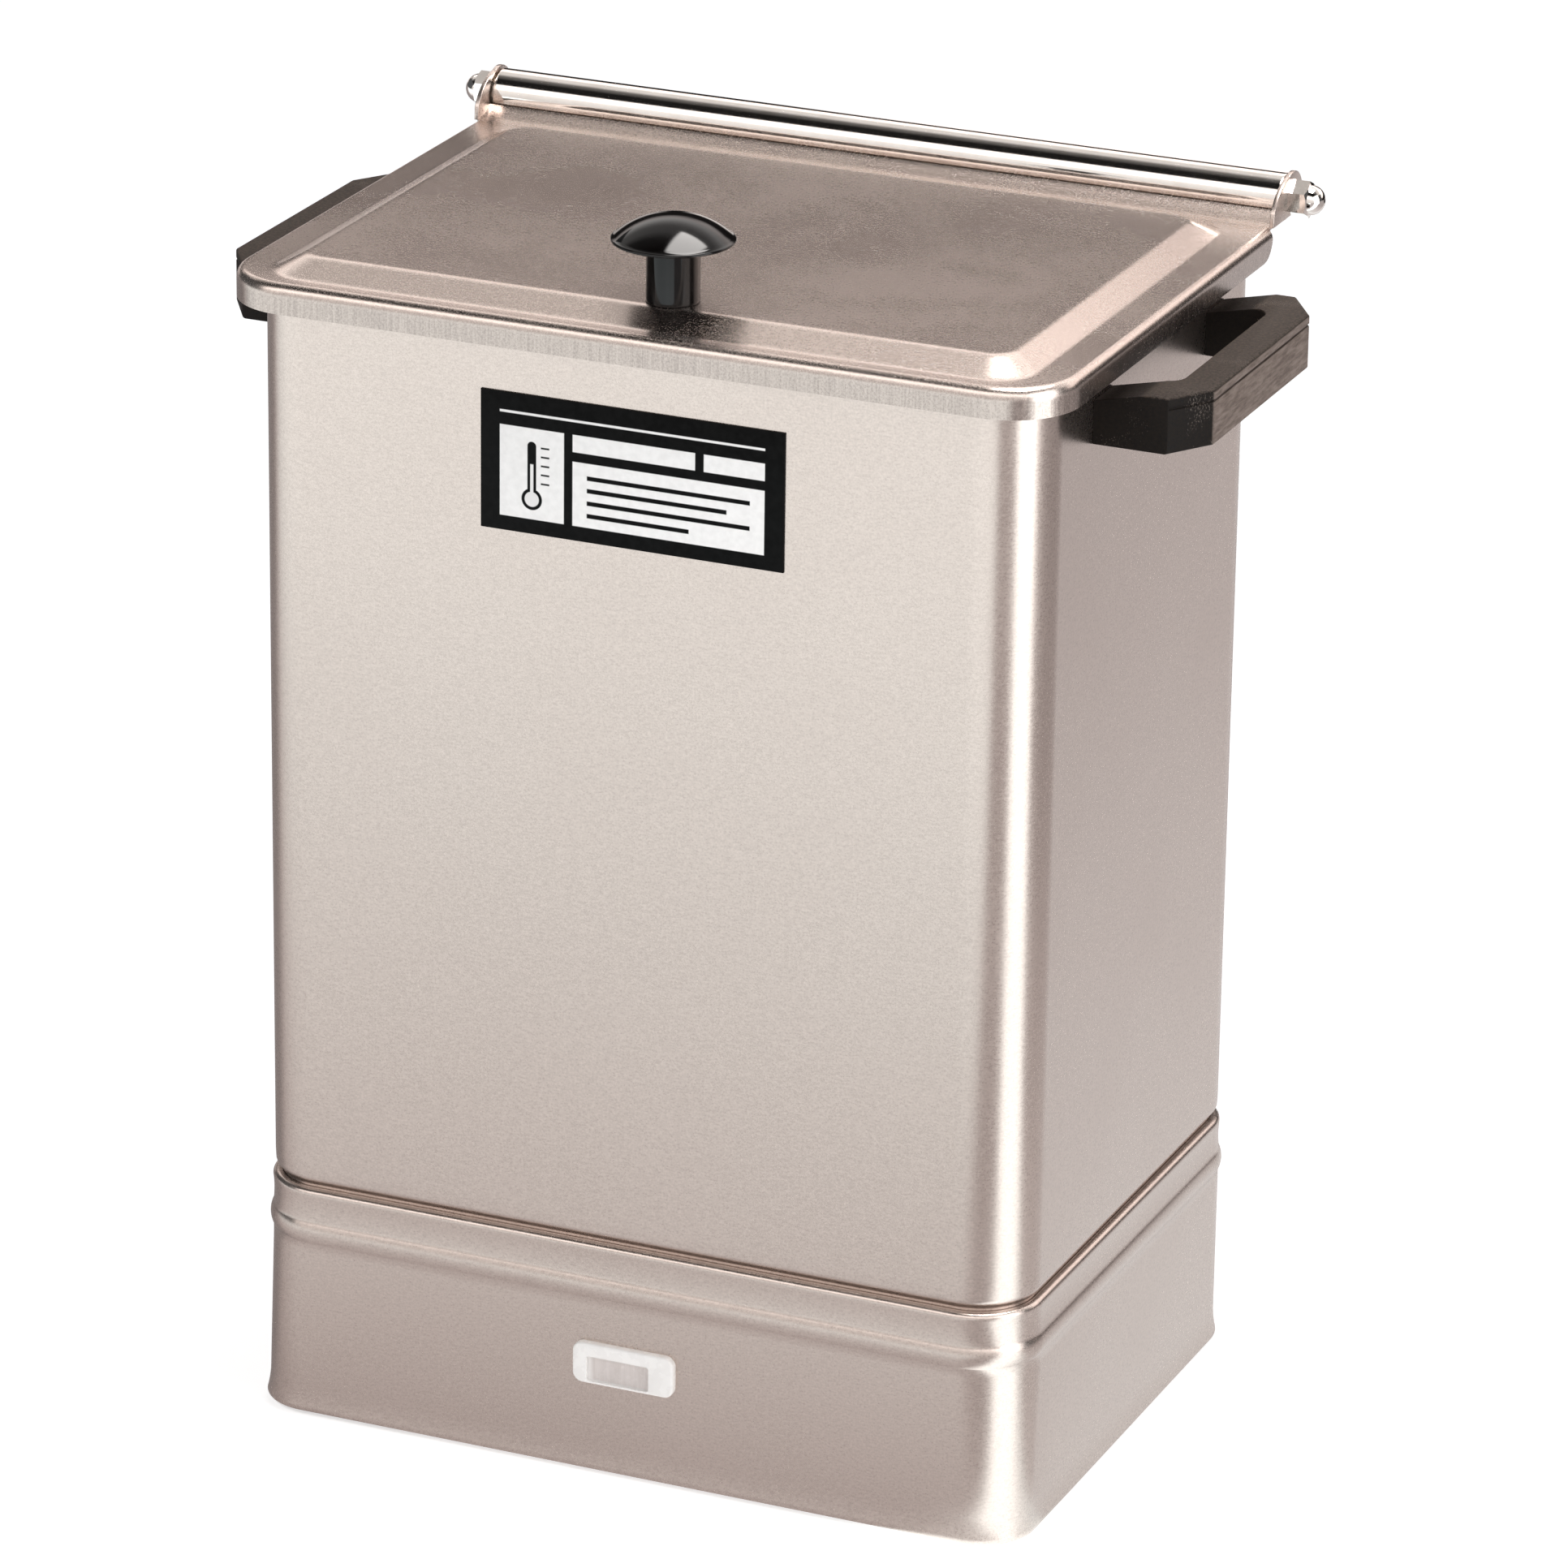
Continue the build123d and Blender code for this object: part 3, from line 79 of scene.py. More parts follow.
def pick_up(piece):
    """Make one piece the only selected one."""
    put_down()
    piece.select_set(True)
    bpy.context.view_layer.objects.active = piece


def begin(name):
    """A new piece in edit mode, one vertex at the origin."""
    put_down()
    bpy.ops.mesh.primitive_plane_add(size=MM, location=(0, 0, 0))
    piece = bpy.context.object
    piece.name = name
    piece.data.name = name
    bpy.ops.object.mode_set(mode="EDIT")
    bpy.ops.mesh.select_mode(type="VERT")
    bpy.ops.mesh.select_all(action="SELECT")
    bpy.ops.mesh.merge(type="CENTER")
    return piece


def middle_of(kind, part):
    """A vertex's place, or the middle of an edge or a face."""
    if kind == "VERT":
        return part.co / MM
    if kind == "EDGE":
        return (part.verts[0].co + part.verts[1].co) / 2 / MM
    return part.calc_center_median() / MM


def choose(kind, wanted):
    """Select what passes a test on its middle, in the piece being edited."""
    data = bpy.context.edit_object.data
    mesh = bmesh.from_edit_mesh(data)
    bpy.ops.mesh.select_mode(type=kind)
    bpy.ops.mesh.select_all(action="DESELECT")
    for part in {"VERT": mesh.verts, "EDGE": mesh.edges, "FACE": mesh.faces}[kind]:
        part.select_set(bool(wanted(middle_of(kind, part))))
    mesh.select_flush_mode()
    bmesh.update_edit_mesh(data)


def move(x, y, z):
    bpy.ops.transform.translate(value=(x * MM, y * MM, z * MM))


def pull(x, y, z):
    """Extrude what is selected by a step."""
    bpy.ops.mesh.extrude_region_move(TRANSFORM_OT_translate={"value": (x * MM, y * MM, z * MM)})


def draw(points, closed=False):
    """Turn the piece's one vertex into a line through the points."""
    first = Vector(points[0])
    bpy.ops.mesh.select_all(action="SELECT")
    move(*first)
    for start, end in zip(points, points[1:]):
        pull(*(Vector(end) - Vector(start)))
    if closed:
        ends = [Vector(points[0]), Vector(points[-1])]
        choose("VERT", lambda middle: min((middle - end).length for end in ends) < 0.001)
        bpy.ops.mesh.edge_face_add()
    bpy.ops.mesh.select_all(action="SELECT")


def turn(centre, axis, angle, steps):
    """Spin what is selected about an axis through a centre, anticlockwise from the axis' tip."""
    bpy.ops.mesh.spin(
        steps=steps,
        angle=angle,
        center=tuple(value * MM for value in centre),
        axis=tuple(-value for value in axis),
    )


def tidy_up():
    """Merge doubles and point every face outwards."""
    bpy.ops.mesh.select_all(action="SELECT")
    bpy.ops.mesh.remove_doubles(threshold=WELD_GAP * MM)
    bpy.ops.mesh.select_all(action="SELECT")
    bpy.ops.mesh.normals_make_consistent(inside=False)


def smooth(piece, degrees=SMOOTH_ANGLE):
    pick_up(piece)
    bpy.ops.object.shade_smooth_by_angle(angle=math.radians(degrees))
    put_down()
    return piece


def apply(piece, kind, **settings):
    """Add a modifier and apply it."""
    pick_up(piece)
    modifier = piece.modifiers.new(kind.title(), kind)
    for key, value in settings.items():
        setattr(modifier, key, value)
    bpy.ops.object.modifier_apply(modifier=modifier.name)
    return piece


def arc(centre, radius, start, end, steps):
    """Points on an arc in degrees, first and last included, as (across, up)."""
    points = []
    for step in range(steps + 1):
        angle = math.radians(start + (end - start) * step / steps)
        points.append(
            (centre[0] + radius * math.cos(angle), centre[1] + radius * math.sin(angle))
        )
    return points


def dome(radius, rim_z, top_z, steps):
    """Points of a dome from its top centre down to its rim, as (out, up)."""
    rise = top_z - rim_z
    curve = (radius**2 + rise**2) / (2 * rise)
    span = math.degrees(math.asin(radius / curve))
    return arc((0, top_z - curve), curve, 90, 90 - span, steps)


def lathe(name, section, centre, axis, steps):
    """A round piece: a section of (out, along) points, spun about an axis from a centre."""
    piece = begin(name)
    along = Vector(axis)
    out = Vector((0, 0, 1)) if abs(along.z) < 0.5 else Vector((1, 0, 0))
    middle = Vector(centre)
    draw([middle + out * radius + along * height for radius, height in section])
    turn(centre, axis, 2 * math.pi, steps)
    tidy_up()
    put_down()
    return piece


def wall_round(name, half_x, half_y, corner, section, steps):
    """A closed section of (out, up) points, run once round a rounded rectangle."""
    piece = begin(name)
    draw([Vector((0, -half_y - out, up)) for out, up in section], closed=True)
    lap = 0.5  # a narrow strip beside each corner, which keeps its shading off the flat wall
    run_x, run_y = half_x - corner, half_y - corner
    sides = [
        ((1, 0), run_x, (run_x, -run_y)),
        ((0, 1), 2 * run_y, (run_x, run_y)),
        ((-1, 0), 2 * run_x, (-run_x, run_y)),
        ((0, -1), 2 * run_y, (-run_x, -run_y)),
    ]
    for way, length, centre in sides:
        for step in (lap, length - 2 * lap, lap):
            pull(way[0] * step, way[1] * step, 0)
        turn((*centre, 0), (0, 0, 1), QUARTER, steps)
    for step in (lap, run_x - lap):
        pull(step, 0, 0)
    tidy_up()
    put_down()
    return piece


def outline(half_x, front, rear, corner, rear_corner, z, steps):
    """Add one rounded rectangle to the piece being edited, as a face."""
    middle = (front + rear) / 2
    bpy.ops.mesh.select_all(action="DESELECT")
    bpy.ops.mesh.primitive_plane_add(size=2 * MM, location=(0, middle * MM, z * MM))
    size = (half_x, (rear - front) / 2, 1)
    bpy.ops.transform.resize(value=size, center_override=(0, middle * MM, z * MM))
    data = bpy.context.edit_object.data
    for way, radius in ((-1, corner), (1, rear_corner)):
        mesh = bmesh.from_edit_mesh(data)
        ends = [vertex for vertex in mesh.verts if vertex.select]
        sharp = (middle + way * (rear - front) / 2) * MM
        for vertex in ends:
            on_this_end = (vertex.co.y / MM - middle) * way > 0
            vertex.select_set(on_this_end and abs(vertex.co.y - sharp) < 1e-7)
        mesh.select_flush_mode()
        bmesh.update_edit_mesh(data)
        bpy.ops.mesh.bevel(
            offset=radius * MM, segments=steps, affect="VERTICES", offset_type="OFFSET",
            profile=0.5,
        )
        bpy.ops.mesh.select_linked()


def skin(name, outlines, steps):
    """A pressed shell through outlines, from its closed top down to its open rim."""
    piece = begin(name)
    bpy.ops.mesh.delete(type="VERT")
    outline(*outlines[0], steps)
    for sizes in outlines[1:]:
        outline(*sizes, steps)
        bpy.ops.mesh.delete(type="ONLY_FACE")
        bpy.ops.mesh.select_mode(type="EDGE")
        bpy.ops.mesh.select_all(action="DESELECT")
        bpy.ops.mesh.select_non_manifold(
            extend=False, use_wire=True, use_boundary=True, use_multi_face=False,
            use_non_contiguous=False, use_verts=False,
        )
        bpy.ops.mesh.bridge_edge_loops()
        bpy.ops.mesh.select_mode(type="VERT")
    return piece


def from_node(name, node, bevel, steps):
    """A copy of a CAD node's mesh, merged, with its sharp edges rounded."""
    source = frame["nodes"][node]
    piece = bpy.data.objects.new(name, source.data.copy())
    piece.data.name = name
    bpy.context.scene.collection.objects.link(piece)
    pick_up(piece)
    bpy.ops.object.mode_set(mode="EDIT")
    bpy.ops.mesh.select_mode(type="VERT")
    bpy.ops.mesh.select_all(action="SELECT")
    bpy.ops.mesh.remove_doubles(threshold=NODE_WELD_GAP * MM)
    bpy.ops.mesh.dissolve_limited(angle_limit=math.radians(FLAT_ANGLE))
    put_down()
    return apply(
        piece, "BEVEL", width=bevel * MM, segments=steps, limit_method="ANGLE",
        angle_limit=math.radians(SHARP_ANGLE), use_clamp_overlap=True, harden_normals=False,
    )


# Finishes ---------------------------------------------------------------------------------------

class Finish:
    """A material being put together from nodes on Object coordinates."""

    def __init__(self, name):
        self.material = bpy.data.materials.new(name)
        self.material.use_nodes = True
        self.tree = self.material.node_tree
        self.shader = self.tree.nodes["Principled BSDF"]
        self.place = self.add("ShaderNodeTexCoord").outputs["Object"]

    def add(self, kind, **settings):
        node = self.tree.nodes.new(kind)
        for key, value in settings.items():
            setattr(node, key, value)
        return node

    def join(self, source, target):
        self.tree.links.new(source, target)

    def set(self, **values):
        for key, value in values.items():
            self.shader.inputs[key.replace("_", " ")].default_value = value

    def feed(self, key, source):
        self.join(source, self.shader.inputs[key])

    def noise(self, scale, detail=2.0, rough=0.5, distortion=0.0):
        """Noise with features about 1/scale metres apart, or a scale for each direction."""
        stretch = scale if isinstance(scale, tuple) else (scale, scale, scale)
        mapping = self.add("ShaderNodeMapping")
        mapping.inputs["Scale"].default_value = stretch
        self.join(self.place, mapping.inputs["Vector"])
        node = self.add("ShaderNodeTexNoise")
        node.inputs["Scale"].default_value = 1.0
        node.inputs["Detail"].default_value = detail
        node.inputs["Roughness"].default_value = rough
        node.inputs["Distortion"].default_value = distortion
        self.join(mapping.outputs[0], node.inputs["Vector"])
        return node.outputs["Fac"]

    def level(self, source, low, high, start=0.0, end=1.0):
        """Map a value from start..end to low..high."""
        node = self.add("ShaderNodeMapRange", clamp=True)
        sockets = ("From Min", "From Max", "To Min", "To Max")
        for key, value in zip(sockets, (start, end, low, high)):
            node.inputs[key].default_value = value
        self.join(source, node.inputs["Value"])
        return node.outputs["Result"]

    def mix(self, source, low=0.3, high=0.7):
        """Stretch the middle of a noise to 0..1."""
        return self.level(source, 0, 1, low, high)

    def sum(self, first, second, kind="ADD"):
        """Work a value together with another or with a number."""
        node = self.add("ShaderNodeMath", operation=kind)
        self.join(first, node.inputs[0])
        if isinstance(second, (int, float)):
            node.inputs[1].default_value = second
        else:
            self.join(second, node.inputs[1])
        return node.outputs[0]

    def times(self, first, second):
        return self.sum(first, second, "MULTIPLY")

    def less(self, first, second):
        return self.sum(first, second, "SUBTRACT")

    def reach(self, first, second):
        """Length of a step with these two parts, given their squares."""
        return self.sum(self.sum(first, second), 0.5, "POWER")

    def blend(self, factor, first, second):
        """A colour between two colours or colour sources."""
        node = self.add("ShaderNodeMix", data_type="RGBA")
        self.join(factor, node.inputs["Factor"])
        for value, socket in ((first, node.inputs[6]), (second, node.inputs[7])):
            if isinstance(value, tuple):
                socket.default_value = (*value, 1.0)
            else:
                self.join(value, socket)
        return node.outputs[2]

    def bump(self, height, strength, distance):
        """Small relief, its distance in millimetres."""
        node = self.add("ShaderNodeBump")
        node.inputs["Strength"].default_value = strength
        node.inputs["Distance"].default_value = distance * MM
        self.join(height, node.inputs["Height"])
        self.feed("Normal", node.outputs["Normal"])

    def split(self):
        """The place on the piece as x, y and z."""
        node = self.add("ShaderNodeSeparateXYZ")
        self.join(self.place, node.inputs[0])
        return node.outputs

    def level_tangent(self):
        """Brush lines that run level round a wall, and along X on a flat top."""
        normal = self.add("ShaderNodeNewGeometry").outputs["Normal"]
        across = self.add("ShaderNodeVectorMath", operation="CROSS_PRODUCT")
        across.inputs[0].default_value = (0, 0, 1)
        self.join(normal, across.inputs[1])
        lean = self.add("ShaderNodeVectorMath", operation="ADD")
        lean.inputs[1].default_value = (0.05, 0, 0)
        self.join(across.outputs[0], lean.inputs[0])
        self.feed("Tangent", lean.outputs[0])


def brushed(name, dark, light, rough, lines, aniso, bumps=0.10, skirt=None):
    """Satin sheet steel: brush lines, a speckled grain and faint smudges.

    Below the heights in skirt, a lid's steel is brushed upright and painted darker, as painted
    shade.
    """
    finish = Finish(name)
    stroke = finish.noise(lines, detail=3, rough=0.6)
    if skirt:
        # Painted shade: the skirt's colours are darkened; its upright brush lines are the steel's
        # own.
        skirt_shade_dark, skirt_shade_light = 0.68, 0.84
        upright = finish.noise((1500, 1500, 60), detail=2, rough=0.6)
        below = finish.level(finish.split()[2], 1, 0, *skirt)
        dark = finish.blend(below, dark, tuple(skirt_shade_dark * value for value in dark))
        light = finish.blend(below, light, tuple(skirt_shade_light * value for value in light))
        level_stroke = finish.times(stroke, finish.level(below, 1, 0))
        stroke = finish.sum(level_stroke, finish.times(upright, below))
    speck = finish.noise(1300, detail=3, rough=0.75)
    smudge = finish.noise(14, detail=3, rough=0.55)
    grain = finish.sum(finish.times(stroke, 0.35), finish.times(speck, 0.65))
    finish.feed("Base Color", finish.blend(finish.mix(grain, 0.38, 0.62), dark, light))
    worn = finish.level(smudge, -0.02, 0.02, 0.3, 0.7)
    finish.feed("Roughness", finish.sum(worn, finish.level(grain, *rough, 0.3, 0.7)))
    finish.bump(grain, bumps, 0.04)
    finish.set(Metallic=1.0, Anisotropic=aniso, Anisotropic_Rotation=0.25)
    finish.level_tangent()
    return finish.material


def bright_metal(name, dark, light, rough, scale, bumps):
    """Polished or plated metal with light handling marks."""
    finish = Finish(name)
    cloud = finish.noise(scale, detail=4, rough=0.6)
    scratch = finish.noise((scale * 4, scale * 40, scale * 40), detail=2, rough=0.6)
    finish.feed("Base Color", finish.blend(finish.mix(cloud), dark, light))
    finish.feed("Roughness", finish.level(scratch, *rough, 0.3, 0.7))
    finish.bump(scratch, bumps, 0.03)
    finish.set(Metallic=1.0)
    return finish.material


def moulded(
    name, dark, light, rough, scale=260, bumps=0.15, distance=0.08, coat=0.0, shine=0.5
):
    """Moulded plastic, rubber or ceramic with a fine mottle and a soft orange peel."""
    finish = Finish(name)
    mottle = finish.noise(scale, detail=4, rough=0.65)
    peel = finish.noise(scale * 5, detail=2, rough=0.5)
    finish.feed("Base Color", finish.blend(finish.mix(mottle, 0.32, 0.68), dark, light))
    finish.feed("Roughness", finish.level(mottle, *rough, 0.3, 0.7))
    finish.bump(peel, bumps, distance)
    finish.set(Coat_Weight=coat, Coat_Roughness=0.08, Specular_IOR_Level=shine)
    return finish.material


def fibre_wool(name):
    """Matted insulation wool with loose strands."""
    finish = Finish(name)
    strand = finish.noise((240, 240, 1400), detail=5, rough=0.7, distortion=2.0)
    clump = finish.noise(90, detail=3)
    colour = finish.blend(finish.mix(strand), (0.55, 0.47, 0.25), (0.86, 0.80, 0.58))
    finish.feed("Base Color", colour)
    finish.feed("Roughness", finish.level(clump, 0.85, 1.0, 0.3, 0.7))
    finish.bump(finish.sum(strand, clump), 0.8, 0.9)
    finish.set(Sheen_Weight=0.3, Sheen_Roughness=0.6)
    return finish.material


def lamp_glass(name):
    """Tinted glass of the pilot lamp, with a faint film."""
    finish = Finish(name)
    film = finish.noise(300, detail=3)
    finish.feed("Base Color", finish.blend(film, (0.95, 0.62, 0.42), (0.98, 0.78, 0.6)))
    finish.feed("Roughness", finish.level(film, 0.04, 0.12, 0.3, 0.7))
    finish.bump(film, 0.05, 0.05)
    finish.set(Transmission_Weight=0.8, IOR=1.47)
    return finish.material


def lens_white(name):
    """Milky moulded acrylic; its set-back window is painted greyer, as painted shade, with faint
    ribs.
    """
    finish = Finish(name)
    cloud = finish.noise(220, detail=3)
    bezel = finish.blend(finish.mix(cloud), (0.90, 0.875, 0.855), (0.94, 0.92, 0.90))
    ribs = finish.mix(finish.noise((900, 200, 60), detail=2), 0.35, 0.65)
    # Painted shade: the set-back window is painted grey, over faint ribs.
    recess = finish.blend(ribs, (0.60, 0.54, 0.515), (0.68, 0.62, 0.595))
    x, y, z = finish.split()
    sides = [  # left, right, lower and upper: from the bezel's white to the window's painted shade
        (x, -0.0134, -0.0105), (x, 0.0096, 0.0088), (z, 0.0343, 0.0352), (z, 0.0438, 0.0424),
    ]
    mask = finish.mix(y, -0.1048, -0.1042)
    for source, start, end in sides:
        mask = finish.times(mask, finish.mix(source, start, end))
    finish.feed("Base Color", finish.blend(mask, bezel, recess))
    finish.feed("Roughness", finish.level(cloud, 0.22, 0.32, 0.3, 0.7))
    finish.bump(finish.noise(1200, detail=2), 0.02, 0.03)
    finish.set(Coat_Weight=0.3, Coat_Roughness=0.12)
    return finish.material


def grip_brown(name):
    """Moulded grip: near black with a coarse mottle and worn edges; its top and its streaked
    outer face are painted lighter, as painted sheen.
    """
    finish = Finish(name)
    mottle = finish.noise(900, detail=4, rough=0.75)
    streak = finish.noise((1500, 130, 900), detail=3, rough=0.6)
    x, _, z = finish.split()
    out = finish.sum(x, 0, "ABSOLUTE")
    sides = finish.blend(
        finish.mix(mottle, 0.34, 0.66), (0.003, 0.002, 0.002), (0.011, 0.008, 0.006)
    )
    # Painted highlight: the top is painted lighter than the near black sides.
    painted_lit_top = finish.blend(
        finish.mix(mottle, 0.36, 0.64), (0.008, 0.006, 0.005), (0.085, 0.066, 0.055)
    )
    base = finish.blend(finish.mix(z, 0.3848, 0.3853), sides, painted_lit_top)
    # Painted sheen: the outer face is painted a lighter, streaked brown.
    painted_face_sheen = finish.blend(
        finish.mix(streak, 0.35, 0.65), (0.10, 0.075, 0.063), (0.19, 0.15, 0.13)
    )
    face = finish.times(finish.mix(out, 0.1716, 0.1720), finish.level(z, 1, 0, 0.3846, 0.3850))
    base = finish.blend(face, base, painted_face_sheen)
    fleck = finish.noise((2600, 2600, 1100), detail=3, rough=0.7)
    worn = finish.mix(finish.times(fleck, finish.noise(60, detail=2)), 0.36, 0.44)
    finish.feed("Base Color", finish.blend(worn, base, (0.17, 0.14, 0.12)))
    finish.feed("Roughness", finish.level(mottle, 0.50, 0.72, 0.3, 0.7))
    finish.bump(mottle, 0.30, 0.12)
    finish.set(Specular_IOR_Level=0.12)
    return finish.material


class Print(Finish):
    """A plain print on the front plate: masks in millimetres across and up."""

    SOFT = 0.00012  # how far an edge runs out, in metres

    def __init__(self, name):
        super().__init__(name)
        self.across, _, self.up = self.split()

    def box(self, left, right, low, high):
        soft = self.SOFT
        mask = self.mix(self.across, left * MM - soft, left * MM + soft)
        for source, start, end in (
            (self.across, right * MM + soft, right * MM - soft),
            (self.up, low * MM - soft, low * MM + soft),
            (self.up, high * MM + soft, high * MM - soft),
        ):
            mask = self.times(mask, self.mix(source, start, end))
        return mask

    def disc(self, across, up, radius):
        squares = []
        for source, middle in ((self.across, across), (self.up, up)):
            step = self.less(source, middle * MM)
            squares.append(self.times(step, step))
        rim = radius * MM
        return self.level(self.reach(*squares), 1, 0, rim - self.SOFT, rim + self.SOFT)

    def either(self, *masks):
        joint = masks[0]
        for mask in masks[1:]:
            joint = self.sum(joint, mask, "MAXIMUM")
        return joint


FIELDS = [  # left, right, low and high of the light rule and the light fields
    (-46, 46, 366.2, 367.0), (-46, -23.5, 331.5, 362.0), (-20.5, 46, 331.5, 353.0),
    (-20.5, 22, 356.2, 362.0), (25, 46, 356.2, 362.0),
]
RULES = ((41, 347.3), (33, 343.1), (41, 338.9), (20, 334.7))  # right end and height
TICKS = (343.5, 346.5, 349.5, 352.5, 355.5)
SIGN_X, BULB_Z, STEM_TOP = -34.75, 338.2, 356.0


def printed_plate(name):
    """Black plate: a light rule, unequal light fields, a thermometer sign and dark rules."""
    plate = Print(name)
    mottle = plate.noise(400, detail=3)
    light = plate.either(*(plate.box(*field) for field in FIELDS))
    sign = plate.either(
        plate.disc(SIGN_X, BULB_Z, 3.6),
        plate.box(-36.3, -33.2, BULB_Z, STEM_TOP),
        plate.disc(SIGN_X, STEM_TOP, 1.55),
    )
    core = plate.either(plate.disc(SIGN_X, BULB_Z, 2.5), plate.box(-35.3, -34.2, BULB_Z, 350.0))
    rules = plate.either(*(plate.box(-15.5, right, low, low + 1.5) for right, low in RULES))
    ticks = plate.either(*(plate.box(-31.6, -28.6, low, low + 0.6) for low in TICKS))
    cloud = plate.mix(mottle, 0.35, 0.65)
    dark = plate.blend(cloud, (0.0015, 0.0015, 0.0015), (0.004, 0.004, 0.004))
    white = plate.blend(cloud, (0.84, 0.83, 0.82), (0.90, 0.89, 0.88))
    colour = plate.blend(light, dark, white)
    colour = plate.blend(plate.either(sign, rules, ticks), colour, dark)
    plate.feed("Base Color", plate.blend(core, colour, (0.80, 0.79, 0.78)))
    plate.feed("Roughness", plate.level(mottle, 0.32, 0.42, 0.3, 0.7))
    plate.bump(light, 0.05, 0.02)
    plate.set(Specular_IOR_Level=0.06)
    return plate.material


WALL_STEEL = (0.47, 0.40, 0.365), (0.59, 0.505, 0.46)  # darkest and lightest
finishes = {
    "brushed": brushed(
        "brushed_wall_steel", *WALL_STEEL, rough=(0.25, 0.31), lines=(500, 500, 1600),
        aniso=0.25, bumps=0.05,
    ),
    "tank_steel": brushed(
        "tank_steel", (0.56, 0.54, 0.52), (0.74, 0.71, 0.69), rough=(0.22, 0.32),
        lines=(60, 60, 900), aniso=0.3,
    ),
    "plain_steel": bright_metal(
        "plated_steel", (0.48, 0.47, 0.46), (0.70, 0.68, 0.66), rough=(0.22, 0.36),
        scale=180, bumps=0.12,
    ),
    "polished": bright_metal(
        "polished_steel", (0.80, 0.745, 0.70), (0.90, 0.855, 0.815), rough=(0.05, 0.12),
        scale=90, bumps=0.03,
    ),
    "wire_steel": bright_metal(
        "bright_wire", (0.62, 0.61, 0.60), (0.80, 0.79, 0.78), rough=(0.14, 0.26),
        scale=220, bumps=0.08,
    ),
    "fibre": fibre_wool("fibre_wool"),
    "knob_black": moulded(
        "knob_black", (0.002, 0.0015, 0.0015), (0.005, 0.004, 0.004), rough=(0.07, 0.11),
        scale=200, bumps=0.02, distance=0.05, shine=0.30,
    ),
    "handle_brown": grip_brown("handle_brown"),
    "plate_black": printed_plate("plate_black"),
    "lens_white": lens_white("lens_white"),
    "lamp_glass": lamp_glass("lamp_glass"),
    "moulded_white": moulded(
        "moulded_white", (0.72, 0.70, 0.65), (0.82, 0.80, 0.76), rough=(0.35, 0.5)
    ),
    "moulded_black": moulded(
        "moulded_black", (0.020, 0.020, 0.020), (0.045, 0.045, 0.045), rough=(0.4, 0.55)
    ),
    "bead_white": moulded(
        "bead_white", (0.78, 0.75, 0.70), (0.88, 0.86, 0.82), rough=(0.12, 0.22),
        scale=300, bumps=0.06, distance=0.05, coat=0.5,
    ),
    "brass_part": bright_metal(
        "plain_brass", (0.62, 0.44, 0.18), (0.78, 0.60, 0.30), rough=(0.2, 0.34),
        scale=160, bumps=0.1,
    ),
    "rubber_black": moulded(
        "rubber_black", (0.012, 0.012, 0.012), (0.028, 0.028, 0.028), rough=(0.6, 0.8),
        scale=500, bumps=0.3, distance=0.1,
    ),
    "lead_black": moulded(
        "lead_black", (0.02, 0.02, 0.02), (0.045, 0.045, 0.045), rough=(0.4, 0.55),
        scale=500, bumps=0.1, distance=0.05,
    ),
}
lid_steel = brushed(
    "lid_steel", *WALL_STEEL, rough=(0.24, 0.29), lines=(500, 1400, 1400), aniso=0.2,
    bumps=0.012, skirt=(0.3955, 0.3975),
)


def dress(piece, body, slot, *nodes, material=None):
    """Give a finished piece its material, slot and body, and hide the nodes it stands for."""
    piece.data.materials.clear()
    piece.data.materials.append(material or finishes[slot])
    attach(piece, body)
    if nodes:
        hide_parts(*nodes)
    return piece


# Jacket and base housing ------------------------------------------------------------------------

HALF_X, HALF_Y, CORNER = 137.2, 101.4, 22.0
SHEET = 1.0
CORNER_FALL, FALL_Z = 5.0, 60  # how much the base's front corners tighten below this height


def jacket_section():
    """Wall, shoulder, groove, spigot and return: outside downwards, inside back up."""
    top, shoulder, foot = 397.9, 87.6, 75.0
    inset, reach = 2.3, 16.0
    roll, groove = 3.1, 1.45
    outer = [(0, top), (0, top - 0.4), (0, shoulder + 3.2)]
    outer += [(-0.02, shoulder + 2.4), (-0.07, shoulder + 1.4)]
    outer += arc((-3.22, shoulder), roll, 0, -60, 9)
    outer += arc((-0.87, 83.53), groove, 120, 180, 6)[1:]
    outer += [(-inset - 0.02, foot + 0.3), (-inset - 0.3, foot), (-reach, foot)]
    inner = [(-reach, foot + SHEET), (-inset - SHEET, foot + SHEET), (-inset - SHEET, 83.2)]
    inner += [(-SHEET - 1.4, shoulder - 1.2), (-SHEET - 0.3, shoulder + 1.0)]
    inner += [(-SHEET, shoulder + 3.2), (-SHEET, top - 0.4), (-SHEET, top)]
    return outer + inner


